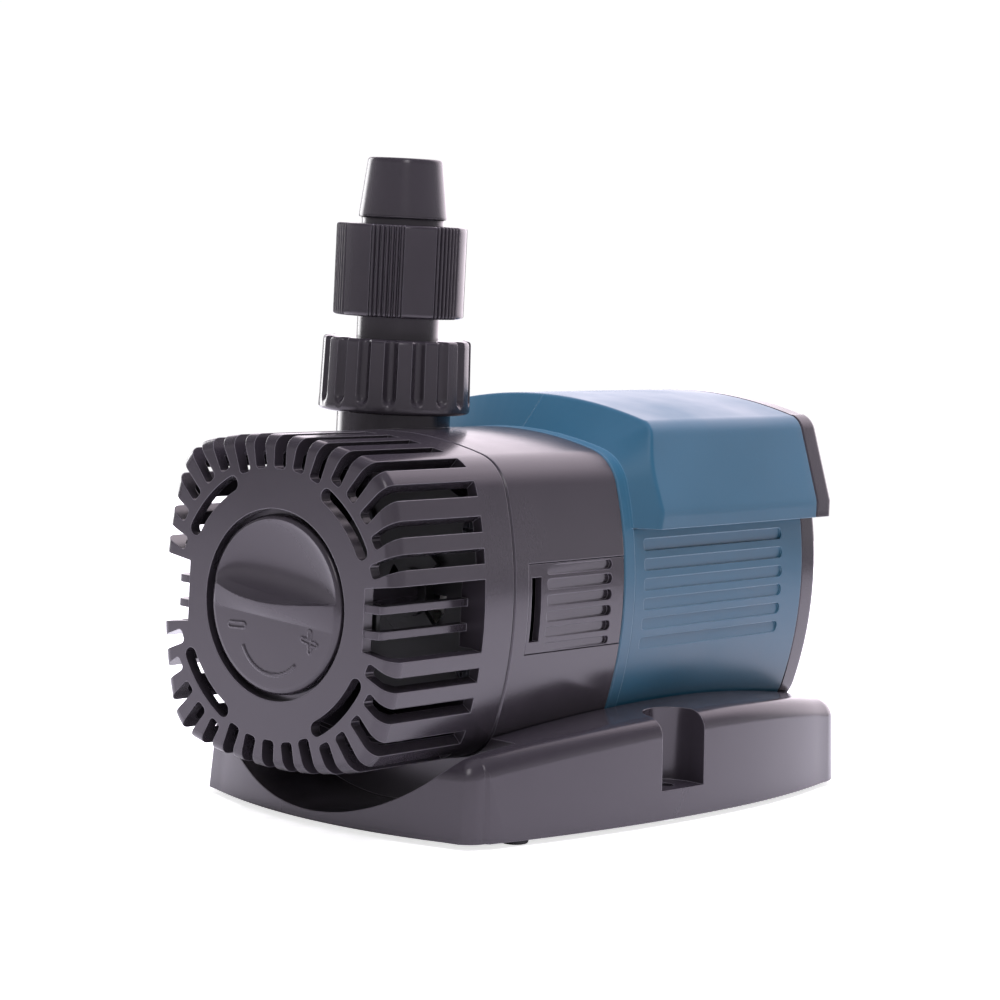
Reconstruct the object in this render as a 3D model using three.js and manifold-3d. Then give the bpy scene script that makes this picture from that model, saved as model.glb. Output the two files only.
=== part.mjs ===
// Fountain submersible pump: a canned-rotor water pump lying in a screw-down base, with a slotted
// suction cage and a flow knob at the front and a hose fitting on top. Millimetres, +Z up.
// The pump axis runs along Y, the front faces -Y. Every piece is drawn about the pump axis, with
// Y = 0 on the front plate, and the whole group is then moved so that the origin is at floor
// level under the middle of the overall box.
import * as THREE from "three";
import { mergeVertices } from "three/addons/utils/BufferGeometryUtils.js";
import Module from "manifold-3d";

const wasm = await Module();
wasm.setup();

// ---------------------------------------------------------------- driving dimensions

const GAP = 0.3; // between pieces that touch
const BODY = { halfWidth: 46.7, halfHeight: 47.7, sideR: 115, topR: 130, cornerR: 14, midZ: 0.4 };
const WALL = 2.6; // moulded shells

// stations along the pump axis
const CAGE_END = 50;
const HOUSING = { front: 50.3, rear: 101.2 };
const COLLAR = { front: 101.5, rear: 106.3 };
const CASING = { front: 87.1, neck: 93, main: 106.6, rear: 195 };
const COVER = { front: 195.3, rear: 204.3 };

const PLATE_THICK = 3.6;
const KNOB_HOLE_R = 27.3;
const SLOT_END = 37.2; // how far back the suction slots run
const LIP_Z = 21.4; // lower edge of the hood

// The outlet leaves the chamber on a tangent, so the hose fitting stands to one side of the axis.
const SPIGOT = { x: -24, y: 73, collarR: 17.3, threadR: 16.6, boreR: 12.6, collarTop: 57, top: 66 };
const UNION_NUT = { bottom: 51.9, top: 74.1, rBottom: 23.1, rTop: 22.5, flutes: 17 };
const TAIL = {
  tubeR: 12.4, boreR: 9.6, flangeTop: 70.2, coneBottom: 110.6, coneR: 13.35, tipR: 11.35, top: 128.3,
};
const CLAMP_NUT = { bottom: 80.6, top: 108.3, r: 19.9, groups: 6, ribsInGroup: 3 };

const VOLUTE = { front: 64, chamberRear: 80, rear: 83, outerR: 33.5, chamberR: 25.5 };
const SUCTION_FACE = 60.4;
const SHAFT_R = 2.5;
const RUNNING = 0.08; // round the shaft
const CAN = { outerR: 15.5, innerR: 14.2, front: 83.3, rear: 148 };

const LATCH = { front: 56.6, rear: 100.8, halfHeight: 13, thick: 2.4 };

const BASE = {
  bottom: -63.5, frontY: 17.1, frontR: 122, rearY: 212, rearR: 300, widestY: 137, widest: 66.4,
  frontBowR: 466, rearBowR: 270, frontCornerR: 9, rearCornerR: 12,
  crownY: 132, crownZ: -32.4, crownFrontR: 711, crownRearR: 438,
  draft: 1.2, shoulderR: 6, wall: 3,
};
const CRADLE = { r: 64, z: 3.3, rear: 50 };
const NOTCH = { x: 60.5, y: 111, r: 9.7, floor: -54.7 };
const FEET = [[52.3, 48], [50, 190]];
const FOOT = { r: 4.8, proud: 1.6 };
const BASE_SCREWS = [[26, 122], [26, 178]];
const GLAND = { z: -24, bodyR: 9, boreR: 3.7, rear: 216.4 };
const KNOB = { r: 25.6, lip: 1, face: 0, proud: 1.6 };

const CIRCLE = 36; // facets on a full round

// ---------------------------------------------------------------- materials

const plastic = (color, roughness) => new THREE.MeshStandardMaterial({ color, roughness, metalness: 0 });
const metal = (color, roughness) => new THREE.MeshStandardMaterial({ color, roughness, metalness: 1 });
const MATERIAL = {
  black: () => plastic(0x2b292d, 0.28),
  dark: () => plastic(0x1c1b1e, 0.45),
  blue: () => plastic(0x2c5f80, 0.25),
  rubber: () => plastic(0x17171a, 0.85),
  white: () => plastic(0xe6e4de, 0.5),
  ceramic: () => plastic(0xf0eee8, 0.2),
  ferrite: () => plastic(0x3b3a3d, 0.6),
  blackSteel: () => metal(0x37383c, 0.4),
  resin: () => plastic(0x55504a, 0.7),
  steel: () => metal(0xb9bcc0, 0.3),
  iron: () => metal(0x6f7378, 0.5),
  copper: () => metal(0xb3663a, 0.35),
};

// ---------------------------------------------------------------- solids

// Turns a closed geometry's faces outwards and hands it to the boolean library.
function solid(geometry) {
  const bare = geometry.index ? geometry.toNonIndexed() : geometry.clone();
  bare.deleteAttribute("normal");
  bare.deleteAttribute("uv");
  const merged = mergeVertices(bare, 1e-4);
  const position = merged.getAttribute("position");
  const index = dropThinFaces(merged.index.array);
  if (signedVolume(position, index) < 0) {
    index.reverse();
  }
  return new wasm.Manifold(
    new wasm.Mesh({ numProp: 3, vertProperties: position.array, triVerts: new Uint32Array(index) }),
  );
}

function dropThinFaces(index) {
  const kept = [];
  for (let i = 0; i < index.length; i += 3) {
    const [a, b, c] = [index[i], index[i + 1], index[i + 2]];
    if (a !== b && b !== c && c !== a) {
      kept.push(a, b, c);
    }
  }
  return kept;
}

function signedVolume(position, index) {
  const corner = [new THREE.Vector3(), new THREE.Vector3(), new THREE.Vector3()];
  let volume = 0;
  for (let i = 0; i < index.length; i += 3) {
    corner.forEach((v, k) => v.fromBufferAttribute(position, index[i + k]));
    volume += corner[0].dot(corner[1].cross(corner[2]));
  }
  return volume;
}

const join = (...solids) => solids.reduce((whole, next) => whole.add(next));
const cut = (whole, ...tools) => tools.reduce((left, tool) => left.subtract(tool), whole);

function box(x0, x1, y0, y1, z0, z1) {
  const geometry = new THREE.BoxGeometry(x1 - x0, y1 - y0, z1 - z0);
  return solid(geometry.translate((x0 + x1) / 2, (y0 + y1) / 2, (z0 + z1) / 2));
}

// A round bar along the pump axis, centred on (x, z).
function barY(r, y0, y1, { x = 0, z = 0, facets = CIRCLE } = {}) {
  return solid(new THREE.CylinderGeometry(r, r, y1 - y0, facets).translate(x, (y0 + y1) / 2, z));
}

// An upright round bar, centred on (x, y); rTop makes it a cone.
function barZ(r, z0, z1, { x = 0, y = 0, rTop = r, facets = CIRCLE } = {}) {
  const upright = new THREE.CylinderGeometry(rTop, r, z1 - z0, facets).rotateX(Math.PI / 2);
  return solid(upright.translate(x, y, (z0 + z1) / 2));
}

// A flat shape in X and Z, stretched along Y.
function prismY(outline, y0, y1) {
  const shape = new THREE.Shape(outline);
  const geometry = new THREE.ExtrudeGeometry(shape, { depth: y1 - y0, bevelEnabled: false });
  return solid(geometry.rotateX(Math.PI / 2).translate(0, y1, 0));
}

// A flat shape in X and Y, stretched upwards.
function prismZ(outline, z0, z1) {
  const shape = new THREE.Shape(outline);
  const geometry = new THREE.ExtrudeGeometry(shape, { depth: z1 - z0, bevelEnabled: false });
  return solid(geometry.translate(0, 0, z0));
}

// A flat shape in Y and Z, stretched across X.
function prismX(outline, x0, x1) {
  const shape = new THREE.Shape(outline);
  const geometry = new THREE.ExtrudeGeometry(shape, { depth: x1 - x0, bevelEnabled: false });
  return solid(geometry.rotateX(Math.PI / 2).rotateZ(Math.PI / 2).translate(x0, 0, 0));
}

// Skins a stack of rings, each a list of Vector3 with equal counts, and closes both ends.
function loft(rings, flatten) {
  const count = rings[0].length;
  const index = [];
  for (let level = 0; level + 1 < rings.length; level++) {
    for (let i = 0; i < count; i++) {
      const a = level * count + i;
      const b = level * count + ((i + 1) % count);
      index.push(a, b, b + count, a, b + count, a + count);
    }
  }
  const lastRing = (rings.length - 1) * count;
  THREE.ShapeUtils.triangulateShape(rings[0].map(flatten), []).forEach(([a, b, c]) => index.push(a, c, b));
  THREE.ShapeUtils.triangulateShape(rings.at(-1).map(flatten), []).forEach(([a, b, c]) =>
    index.push(lastRing + a, lastRing + b, lastRing + c),
  );
  const geometry = new THREE.BufferGeometry().setFromPoints(rings.flat());
  geometry.setIndex(index);
  return solid(geometry);
}

// A loft along the pump axis: levels are [station along Y, outline in X and Z].
function loftY(levels) {
  const rings = levels.map(([y, outline]) => outline.map((p) => new THREE.Vector3(p.x, y, p.y)));
  return loft(rings, (v) => new THREE.Vector2(v.x, v.z));
}

// The two crossed slots of a screw head that faces along the pump axis.
const crossRecess = (reach, y0, y1) => [
  box(-reach, reach, y0, y1, -0.45, 0.45),
  box(-0.45, 0.45, y0, y1, -reach, reach),
];

const mirrored = (whole) => [whole, whole.mirror([1, 0, 0])];
const turnedY = (whole, degrees) => whole.rotate([0, degrees, 0]);

// ---------------------------------------------------------------- outlines

function arc(centre, radius, from, to, steps) {
  return Array.from({ length: steps }, (_, i) => {
    const angle = from + ((to - from) * i) / steps;
    return new THREE.Vector2(centre.x + radius * Math.cos(angle), centre.y + radius * Math.sin(angle));
  });
}

// One quarter of a crowned rectangle: side arc, corner arc and top arc that run into each other.
function quarter(spec, inset) {
  const side = new THREE.Vector2(spec.halfWidth - spec.sideR, 0);
  const top = new THREE.Vector2(0, spec.halfHeight - spec.topR);
  const toSide = spec.sideR - spec.cornerR;
  const toTop = spec.topR - spec.cornerR;
  const between = side.distanceTo(top);
  const along = (toSide ** 2 - toTop ** 2 + between ** 2) / (2 * between);
  const off = Math.sqrt(toSide ** 2 - along ** 2);
  const unit = top.clone().sub(side).divideScalar(between);
  const normal = new THREE.Vector2(-unit.y, unit.x);
  const corner = side.clone().addScaledVector(unit, along).addScaledVector(normal, off);
  const sideEnd = corner.clone().sub(side).angle();
  const topStart = corner.clone().sub(top).angle();
  return [
    ...arc(side, spec.sideR - inset, 0, sideEnd, 3),
    ...arc(corner, spec.cornerR - inset, sideEnd, topStart, 4),
    ...arc(top, spec.topR - inset, topStart, Math.PI / 2, 3),
  ];
}

// The pump body's section, the same along its whole length, shrunk by an inset.
function bodyOutline(inset = 0) {
  const first = quarter(BODY, inset);
  const crest = new THREE.Vector2(0, BODY.halfHeight - inset);
  const flipX = first.slice(1).reverse().map((p) => new THREE.Vector2(-p.x, p.y));
  const upper = [...first, crest, ...flipX, new THREE.Vector2(-BODY.halfWidth + inset, 0)];
  const lower = upper.slice(1, -1).reverse().map((p) => new THREE.Vector2(p.x, -p.y));
  return [...upper, ...lower].map((p) => new THREE.Vector2(p.x, p.y + BODY.midZ));
}

const bodyPrism = (inset, y0, y1) => prismY(bodyOutline(inset), y0, y1);

// The hood's section: a shallow crown, a tight shoulder and nearly straight flaring sides.
function hoodOutline(inset = 0) {
  const crown = { z: 58.4, r: 150 };
  const shoulder = { x: 36.6, z: 46.9, r: 7 };
  const flank = { x: 50.9 - inset, z: 26.5 };
  const shoulderAt = new THREE.Vector2(shoulder.x, shoulder.z);
  const crownCentre = new THREE.Vector2(0, crown.z - crown.r);
  const crownAngle = Math.atan2(shoulder.x, shoulder.z - crownCentre.y);
  const right = [
    new THREE.Vector2(flank.x, LIP_Z),
    new THREE.Vector2(flank.x, flank.z),
    ...arc(shoulderAt, shoulder.r - inset, 0.34, Math.PI / 2 - crownAngle, 4),
    ...arc(crownCentre, crown.r - inset, Math.PI / 2 - crownAngle, Math.PI / 2, 3),
  ];
  const left = right.slice().reverse().map((p) => new THREE.Vector2(-p.x, p.y));
  return [...right, new THREE.Vector2(0, crown.z - inset), ...left];
}

// ---------------------------------------------------------------- front cage

// Centre lines of the suction slots in the front face, from the plate's rim outwards, for one
// quarter of the cage; the slots keep this section all the way back to their ends.
const SLOT_LINES = [
  [[36.4, 13.3], [50, 18.9], 4.2],
  [[36.7, 21.3], [50, 30.0], 4.2],
  [[32.4, 27.5], [49, 43.4], 4.2],
  [[27.1, 32.7], [40.5, 48.7], 4.2],
  [[21.3, 36.3], [29.3, 50.5], 4.2],
  [[13.4, 36.3], [18.9, 51], 4.3],
  [[7.0, 38.2], [9.6, 51], 4.4],
];
const CREST_SLOT = [[0, 38.6], [0, 51], 4.6];

// A slot with a rounded inner end, as an outline in X and Z.
function slotOutline([from, to, width]) {
  const start = new THREE.Vector2(...from);
  const end = new THREE.Vector2(...to);
  const heading = end.clone().sub(start).angle();
  const r = width / 2;
  const tip = start.clone().addScaledVector(end.clone().sub(start).normalize(), r);
  const side = new THREE.Vector2(-Math.sin(heading), Math.cos(heading)).multiplyScalar(r);
  return [
    ...arc(tip, r, heading + Math.PI / 2, heading + (3 * Math.PI) / 2, 3),
    tip.clone().sub(side),
    end.clone().sub(side),
    end.clone().add(side),
  ];
}

function cageSlots() {
  const cutters = [];
  const add = (line, signX, signZ) => {
    const placed = [line[0], line[1]].map(([x, z]) => [x * signX, z * signZ]);
    cutters.push(prismY(slotOutline([...placed, line[2]]), -1, SLOT_END));
  };
  for (const signZ of [1, -1]) {
    add(CREST_SLOT, 1, signZ);
    SLOT_LINES.forEach((line) => [1, -1].forEach((signX) => add(line, signX, signZ)));
  }
  return cutters;
}

// A curved slot through the front plate, centred on one diagonal.
function arcSlot(degrees) {
  const middle = new THREE.Vector2(0, 0);
  const reach = THREE.MathUtils.degToRad(15.4);
  const at = THREE.MathUtils.degToRad(degrees);
  const [r, half] = [37.57, 2.2];
  const ends = [at - reach, at + reach].map((a) => new THREE.Vector2(r * Math.cos(a), r * Math.sin(a)));
  return prismY(
    [
      ...arc(middle, r + half, at - reach, at + reach, 4),
      ...arc(ends[1], half, at + reach, at + reach + Math.PI, 3),
      ...arc(middle, r - half, at + reach, at - reach, 4),
      ...arc(ends[0], half, at - reach + Math.PI, at - reach + 2 * Math.PI, 3),
    ],
    -1,
    PLATE_THICK + 3,
  );
}

function cageSideWindow() {
  const corners = [[34.5, -8.8], [50, -11], [50, 11], [34.5, 8.8]];
  return prismY(corners.map(([x, z]) => new THREE.Vector2(x, z)), -1, SLOT_END);
}

// Two thin bars set back in each side window, bent round from the front plate.
function cageInnerBar(z) {
  const end = SLOT_END + 1.5;
  const outline = [[33.5, 0.4], [38.2, 0.4], [40, 2.2], [40, end], [37, end], [37, 4.4], [33.5, 4.4]];
  return prismZ(outline.map(([x, y]) => new THREE.Vector2(x, y)), z - 1.1, z + 1.1);
}

function frontCage() {
  const edgeR = 4;
  const bend = [0, 45, 90].map((degrees) => THREE.MathUtils.degToRad(degrees));
  const nose = bend
    .map((a) => [edgeR * (1 - Math.sin(a)), bodyOutline(edgeR * (1 - Math.cos(a)))])
    .reverse();
  const outer = loftY([...nose, [CAGE_END, bodyOutline(0)]]);
  const wall = 3.4;
  const hollow = loftY([
    [PLATE_THICK, bodyOutline(wall + 2)],
    [PLATE_THICK + 2.4, bodyOutline(wall)],
    [CAGE_END + 1, bodyOutline(wall)],
  ]);
  const windows = mirrored(cageSideWindow());
  const shell = cut(outer, hollow, ...cageSlots(), ...windows, barY(KNOB_HOLE_R, -1, PLATE_THICK + 2));
  const arcs = [45, 135, 225, 315].map(arcSlot);
  const land = cut(box(35.2, 44.5, SLOT_END, SLOT_END + 4, -9.8, 9.8), barY(37.2, 30, 50));
  const bars = [3.2, -3.9].flatMap((z) => mirrored(cageInnerBar(z)));
  const lip = cut(bodyPrism(WALL + GAP, CAGE_END - 6, 54), bodyPrism(WALL + 2.2, CAGE_END - 7, 55));
  return join(cut(shell, ...arcs), lip, ...bars, ...mirrored(land));
}

// ---------------------------------------------------------------- flow knob and shutter

function flowKnob() {
  const disc = join(barY(KNOB.r, KNOB.face + KNOB.lip, 5.4), barY(KNOB.r - KNOB.lip, KNOB.face, 3));
  const rim = barY(29, PLATE_THICK + GAP, 5.4);
  const gripLine = [[-24.4, 4.8], [-24.6, -2.8], [23.4, -5.1], [24.3, 3], [0, 1.8]];
  const gripOutline = gripLine.map(([x, z]) => new THREE.Vector2(x, z));
  const grip = prismY(gripOutline, -KNOB.proud, KNOB.face + 0.2);
  const inside = barY(KNOB.r - KNOB.lip, -3, 3);
  const stem = barY(4.6, 5, SHUTTER.front - GAP, { facets: 24 });
  return join(disc, rim, grip.intersect(inside), stem);
}

const WINDOW_R = 12;
const SHUTTER = { front: 56.4, vane: 58.2, rear: 60.0 };

function sector(degrees, r, y0, y1) {
  const from = THREE.MathUtils.degToRad(degrees - 45);
  const points = [new THREE.Vector2(0, 0), ...arc(new THREE.Vector2(0, 0), r, from, from + Math.PI / 2, 7)];
  points.push(new THREE.Vector2(r * Math.cos(from + Math.PI / 2), r * Math.sin(from + Math.PI / 2)));
  return prismY(points, y0, y1);
}

// Two quarter vanes; at rest each covers half of a quarter window in the suction plate.
function flowShutter() {
  const { front, vane, rear } = SHUTTER;
  const hub = barY(7.2, front, rear, { facets: 24 });
  const vanes = [90, 270].map((at) => sector(at, WINDOW_R + 1.4, vane, rear));
  return cut(join(hub, ...vanes), barY(2, front - 1, vane, { facets: 16 }));
}

function knobRetainer() {
  const ring = cut(barY(31.5, 5.9, 7.4), barY(25.5, 5, 8));
  const tabs = [90, 210, 330].map((at) => turnedY(box(-4, 4, 5.9, 7.4, 30, 34), at));
  return join(ring, ...tabs);
}

// ---------------------------------------------------------------- suction plate and pump chamber

const CHAMBER_SCREW_R = 29.5;
const diagonal = (degrees, r) => {
  const a = THREE.MathUtils.degToRad(degrees);
  return { x: r * Math.cos(a), z: r * Math.sin(a) };
};
const CORNERS = [45, 135, 225, 315];

function suctionPlate() {
  const [front, rear] = [SUCTION_FACE, VOLUTE.front - GAP];
  const windows = [135, 315].map((at) =>
    cut(sector(at, WINDOW_R, front - 1, rear + 1), barY(6.6, front - 2, rear + 2, { facets: 24 })),
  );
  const bushSeat = barY(4.6, front + 1.3, rear + 1, { facets: 24 });
  const holes = CORNERS.map((at) =>
    barY(1.8, front - 1, rear + 1, { ...diagonal(at, CHAMBER_SCREW_R), facets: 8 }),
  );
  return cut(barY(VOLUTE.outerR, front, rear), ...windows, bushSeat, ...holes);
}

// The middle housing: outer sleeve, bulkhead, impeller chamber and the threaded outlet spigot.
function pumpHousing() {
  const onSpigot = { x: SPIGOT.x, y: SPIGOT.y };
  const sleeve = cut(bodyPrism(0, HOUSING.front, HOUSING.rear), bodyPrism(WALL, 49, 103));
  const bulkhead = bodyPrism(WALL - 0.5, VOLUTE.chamberRear, VOLUTE.rear);
  const cup = barY(VOLUTE.outerR, VOLUTE.front, VOLUTE.rear);
  const riser = barZ(9, 0, 40, { ...onSpigot, facets: 24 });
  const spigot = join(
    barZ(SPIGOT.collarR, 34, SPIGOT.collarTop, onSpigot),
    barZ(SPIGOT.threadR, SPIGOT.collarTop - 1, SPIGOT.top, onSpigot),
  );
  const bored = [
    barY(VOLUTE.chamberR, VOLUTE.front - 1, VOLUTE.chamberRear),
    barY(15.2, VOLUTE.front, VOLUTE.rear + 1),
    barZ(6.8, 4, 42, { ...onSpigot, facets: 24 }),
    barZ(6.8, 41.5, 57, { ...onSpigot, rTop: SPIGOT.boreR, facets: 24 }),
    barZ(SPIGOT.boreR, 56.5, SPIGOT.top + 1, onSpigot),
    bodyPrism(7, CASING.front - 0.4, HOUSING.rear),
    ...CORNERS.map((at) =>
      barY(1.5, VOLUTE.front - 1, VOLUTE.front + 12, { ...diagonal(at, CHAMBER_SCREW_R), facets: 8 }),
    ),
  ];
  const clear = LATCH.halfHeight + GAP;
  const windows = mirrored(
    box(39.5, 50, LATCH.front - GAP, HOUSING.rear + 1, BODY.midZ - clear, BODY.midZ + clear),
  );
  return cut(join(sleeve, bulkhead, cup, riser, spigot), ...bored, ...windows);
}

function chamberScrew(at) {
  const place = diagonal(at, CHAMBER_SCREW_R);
  const face = SUCTION_FACE - GAP;
  const head = barY(3, face - 2, face, { ...place, facets: 12 });
  const shank = barY(1.2, face - 0.5, VOLUTE.front + 9, { ...place, facets: 8 });
  const cross = crossRecess(2, face - 3, face - 1);
  return cut(join(head, shank), ...cross.map((slot) => slot.translate([place.x, 0, place.z])));
}

// ---------------------------------------------------------------- rotor

const MAGNET = { front: 88.5, rear: 136 };

function impeller() {
  const blades = 6;
  const rear = VOLUTE.chamberRear - 0.8;
  const back = barY(22, rear - 1.6, rear);
  const hub = barY(6.2, VOLUTE.front + 2.7, MAGNET.front - GAP, { facets: 24 });
  const vane = [];
  const inner = [];
  for (let i = 0; i <= 5; i++) {
    const r = 5.5 + (16.3 * i) / 5;
    const sweep = 0.75 * (i / 5) ** 1.3;
    vane.push(new THREE.Vector2(r * Math.cos(sweep), r * Math.sin(sweep)));
    const behind = sweep + 1.5 / r;
    inner.unshift(new THREE.Vector2((r - 0.3) * Math.cos(behind), (r - 0.3) * Math.sin(behind)));
  }
  const blade = prismY([...vane, ...inner], VOLUTE.front + 3.2, rear - 1);
  const fan = Array.from({ length: blades }, (_, i) => turnedY(blade, (360 / blades) * i));
  return cut(join(back, hub, ...fan), barY(SHAFT_R + RUNNING, 60, 100, { facets: 20 }));
}

const rotorMagnet = () =>
  cut(barY(12.5, MAGNET.front, MAGNET.rear), barY(SHAFT_R + RUNNING, 60, 150, { facets: 20 }));
const rotorShaft = () => barY(SHAFT_R, 62.6, 144.2, { facets: 20 });
const frontBush = () => cut(barY(4.3, 62, 66.4, { facets: 24 }), barY(2.8, 62.3, 67, { facets: 20 }));
const rearBush = () => cut(barY(4.3, 138, 144.8, { facets: 24 }), barY(2.8, 137, 144.5, { facets: 20 }));

// Thin-walled can that keeps the water away from the windings; its flange seals on the bulkhead.
function rotorCan() {
  const flange = barY(30, CAN.front, CAN.front + 3.5);
  const tube = barY(CAN.outerR, CAN.front + 2, CAN.rear);
  const well = barY(CAN.innerR, CAN.front - 1, 137.6);
  const seat = barY(4.6, 137, 145.1, { facets: 24 });
  const groove = cut(barY(23.7, CAN.front - 1, CAN.front + 2.4), barY(20.2, CAN.front - 2, CAN.front + 3));
  return cut(join(flange, tube), well, seat, groove);
}

function ring(radius, thickness, y) {
  return solid(new THREE.TorusGeometry(radius, thickness, 6, 24).rotateX(Math.PI / 2).translate(0, y, 0));
}

// ---------------------------------------------------------------- stator

const CORE = { halfX: 15, inner: 12, outer: 30, front: 91.5, yoke: 168, rear: 180, boreRear: 150 };
const COIL = { front: 151, rear: 167, build: 8 };

function coreSolid(grow) {
  const { halfX, inner, outer, front, yoke, rear } = CORE;
  const outline = [
    [front - grow, -outer - grow], [rear + grow, -outer - grow], [rear + grow, outer + grow],
    [front - grow, outer + grow], [front - grow, inner - grow], [yoke - grow, inner - grow],
    [yoke - grow, -inner + grow], [front - grow, -inner + grow],
  ];
  return prismX(outline.map(([y, z]) => new THREE.Vector2(y, z)), -halfX - grow, halfX + grow);
}

const statorCore = () => cut(coreSolid(0), barY(CAN.outerR + GAP, 80, CORE.boreRear));

// One winding on a leg of the core, a rounded rectangular ring round the leg.
function coilBlock(sign, grow) {
  const middle = (sign * (CORE.inner + CORE.outer)) / 2;
  const legHalf = (CORE.outer - CORE.inner) / 2;
  const [halfX, halfZ] = [CORE.halfX, legHalf].map((half) => half + GAP + COIL.build + grow);
  const r = 7;
  const corners = [[1, 1, 0], [-1, 1, 1], [-1, -1, 2], [1, -1, 3]];
  const outline = corners.flatMap(([sx, sz, turn]) => {
    const centre = new THREE.Vector2(sx * (halfX - r), middle + sz * (halfZ - r));
    return arc(centre, r, (turn * Math.PI) / 2, ((turn + 1) * Math.PI) / 2, 4);
  });
  return prismY(outline, COIL.front - grow, COIL.rear + grow);
}

function coil(sign) {
  const middle = (sign * (CORE.inner + CORE.outer)) / 2;
  const legHalf = (CORE.outer - CORE.inner) / 2 + GAP;
  const halfX = CORE.halfX + GAP;
  const hole = box(-halfX, halfX, 140, 180, middle - legHalf, middle + legHalf);
  return cut(coilBlock(sign, 0), hole);
}

// Resin that fills the casing round the core, the coils and the can.
function potting() {
  const block = join(bodyPrism(3.5 + WALL, 107.5, 190), bodyPrism(10.4, CASING.front + 3.3, 108));
  const hollows = [
    coreSolid(GAP),
    coilBlock(1, GAP),
    coilBlock(-1, GAP),
    barY(CAN.outerR + GAP, 80, CAN.rear + GAP),
  ];
  const bosses = bossSpots().map(([x, y]) => barZ(5.4, -60, -33.7, { x, y, facets: 12 }));
  return cut(block, ...hollows, ...bosses);
}

// ---------------------------------------------------------------- motor casing, hood, rear cover

function bossSpots() {
  return BASE_SCREWS.flatMap(([x, y]) => [[x, y], [-x, y]]);
}

const GROOVES = [14.4, 8.4, 2.4, -3.6, -9.6, -15.6];

// Shallow cooling grooves in the casing's side panel.
function casingGroove(z) {
  return box(BODY.halfWidth - 1.3, BODY.halfWidth + 3, 112, 183.6, z, z + 3);
}

function motorCasing() {
  const below = box(-60, 60, 50, 220, -70, LIP_Z - GAP);
  const main = join(
    bodyPrism(0.4, CASING.main, CASING.rear).intersect(below),
    bodyPrism(3.2, CASING.main - 1, CASING.rear),
  );
  const outer = join(bodyPrism(7.6, CASING.front, 100), bodyPrism(3.2, CASING.neck, CASING.main), main);
  const hollow = join(bodyPrism(10, CASING.front + 3, 107.2), bodyPrism(3.2 + WALL, 107.2, 200));
  const bosses = bossSpots().map(([x, y]) => barZ(5, -43, -34, { x, y, facets: 12 }));
  const holes = bossSpots().map(([x, y]) => barZ(2, -55, -36, { x, y, facets: 8 }));
  const grooves = GROOVES.flatMap((z) => mirrored(casingGroove(z)));
  const canHole = barY(CAN.outerR + GAP, 80, 95);
  return cut(join(cut(outer, hollow), ...bosses), canHole, ...holes, ...grooves);
}

// The space the hood may fill: the body's section, opening out at about 45 degrees.
function flare(inset) {
  const slope = 1.08;
  return loftY([
    [COLLAR.front, bodyOutline(inset)],
    [COLLAR.rear, bodyOutline(inset)],
    [COLLAR.rear + 14, bodyOutline(inset - 14 * slope)],
    [CASING.rear, bodyOutline(inset - 14 * slope)],
  ]);
}

// Front collar and hood in one moulding: the collar goes right round, the hood covers the top.
function hood() {
  const outer = prismY(hoodOutline(0), COLLAR.front, CASING.rear).intersect(flare(0));
  const inner = prismY(hoodOutline(2.5), COLLAR.front + 2, CASING.rear + 1).intersect(
    join(flare(2.9), bodyPrism(-10, 122, CASING.rear + 2)),
  );
  const collar = bodyPrism(0, COLLAR.front, COLLAR.rear);
  const underLip = box(-60, 60, 100, 200, 10, LIP_Z + 0.01);
  const bodySpace = bodyPrism(2.9, COLLAR.front - 1, CASING.rear + 1);
  return cut(join(cut(outer, inner, underLip), collar), bodySpace);
}

function roundedEnd(outlineAt, y0, y1, r) {
  const bend = [0, 45, 90].map((degrees) => THREE.MathUtils.degToRad(degrees));
  const tail = bend.map((a) => [y1 - r * (1 - Math.sin(a)), outlineAt(r * (1 - Math.cos(a)))]);
  return loftY([[y0, outlineAt(0)], ...tail]);
}

function rearCover() {
  const lower = roundedEnd((d) => bodyOutline(0.4 + d), COVER.front, COVER.rear, 3);
  const upper = roundedEnd((d) => hoodOutline(d), COVER.front, COVER.rear, 3);
  const lip = cut(bodyPrism(3.2 + WALL + GAP, 191, 197), bodyPrism(8.5, 190, 200.5));
  const pocket = bodyPrism(8.5, COVER.front - 1, 200.5);
  const screwHoles = coverScrewSpots().map(([x, z]) => barY(2.2, 190, 210, { x, z, facets: 8 }));
  const headSeats = coverScrewSpots().map(([x, z]) => barY(4.4, 201.6, 210, { x, z, facets: 12 }));
  const glandHole = barY(6.3, 195, 210, { z: GLAND.z, facets: 24 });
  return cut(cut(join(lower, upper), pocket).add(lip), glandHole, ...screwHoles, ...headSeats);
}

function coverScrewSpots() {
  return [[34, 33], [-34, 33], [33, -31], [-33, -31]];
}

function coverScrew(x, z) {
  const head = barY(3.8, 202, 204.2, { x, z, facets: 12 });
  const shank = barY(1.8, 196.5, 202.5, { x, z, facets: 8 });
  return cut(join(head, shank), ...crossRecess(2.6, 203.2, 205).map((slot) => slot.translate([x, 0, z])));
}

// ---------------------------------------------------------------- cable gland

function glandBody() {
  const flange = barY(GLAND.bodyR, COVER.rear + GAP, 207.6, { z: GLAND.z, facets: 6 });
  const stem = barY(6, 197, 212.6, { z: GLAND.z, facets: 24 });
  return cut(join(flange, stem), barY(GLAND.boreR, 190, 220, { z: GLAND.z, facets: 24 }));
}

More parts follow.
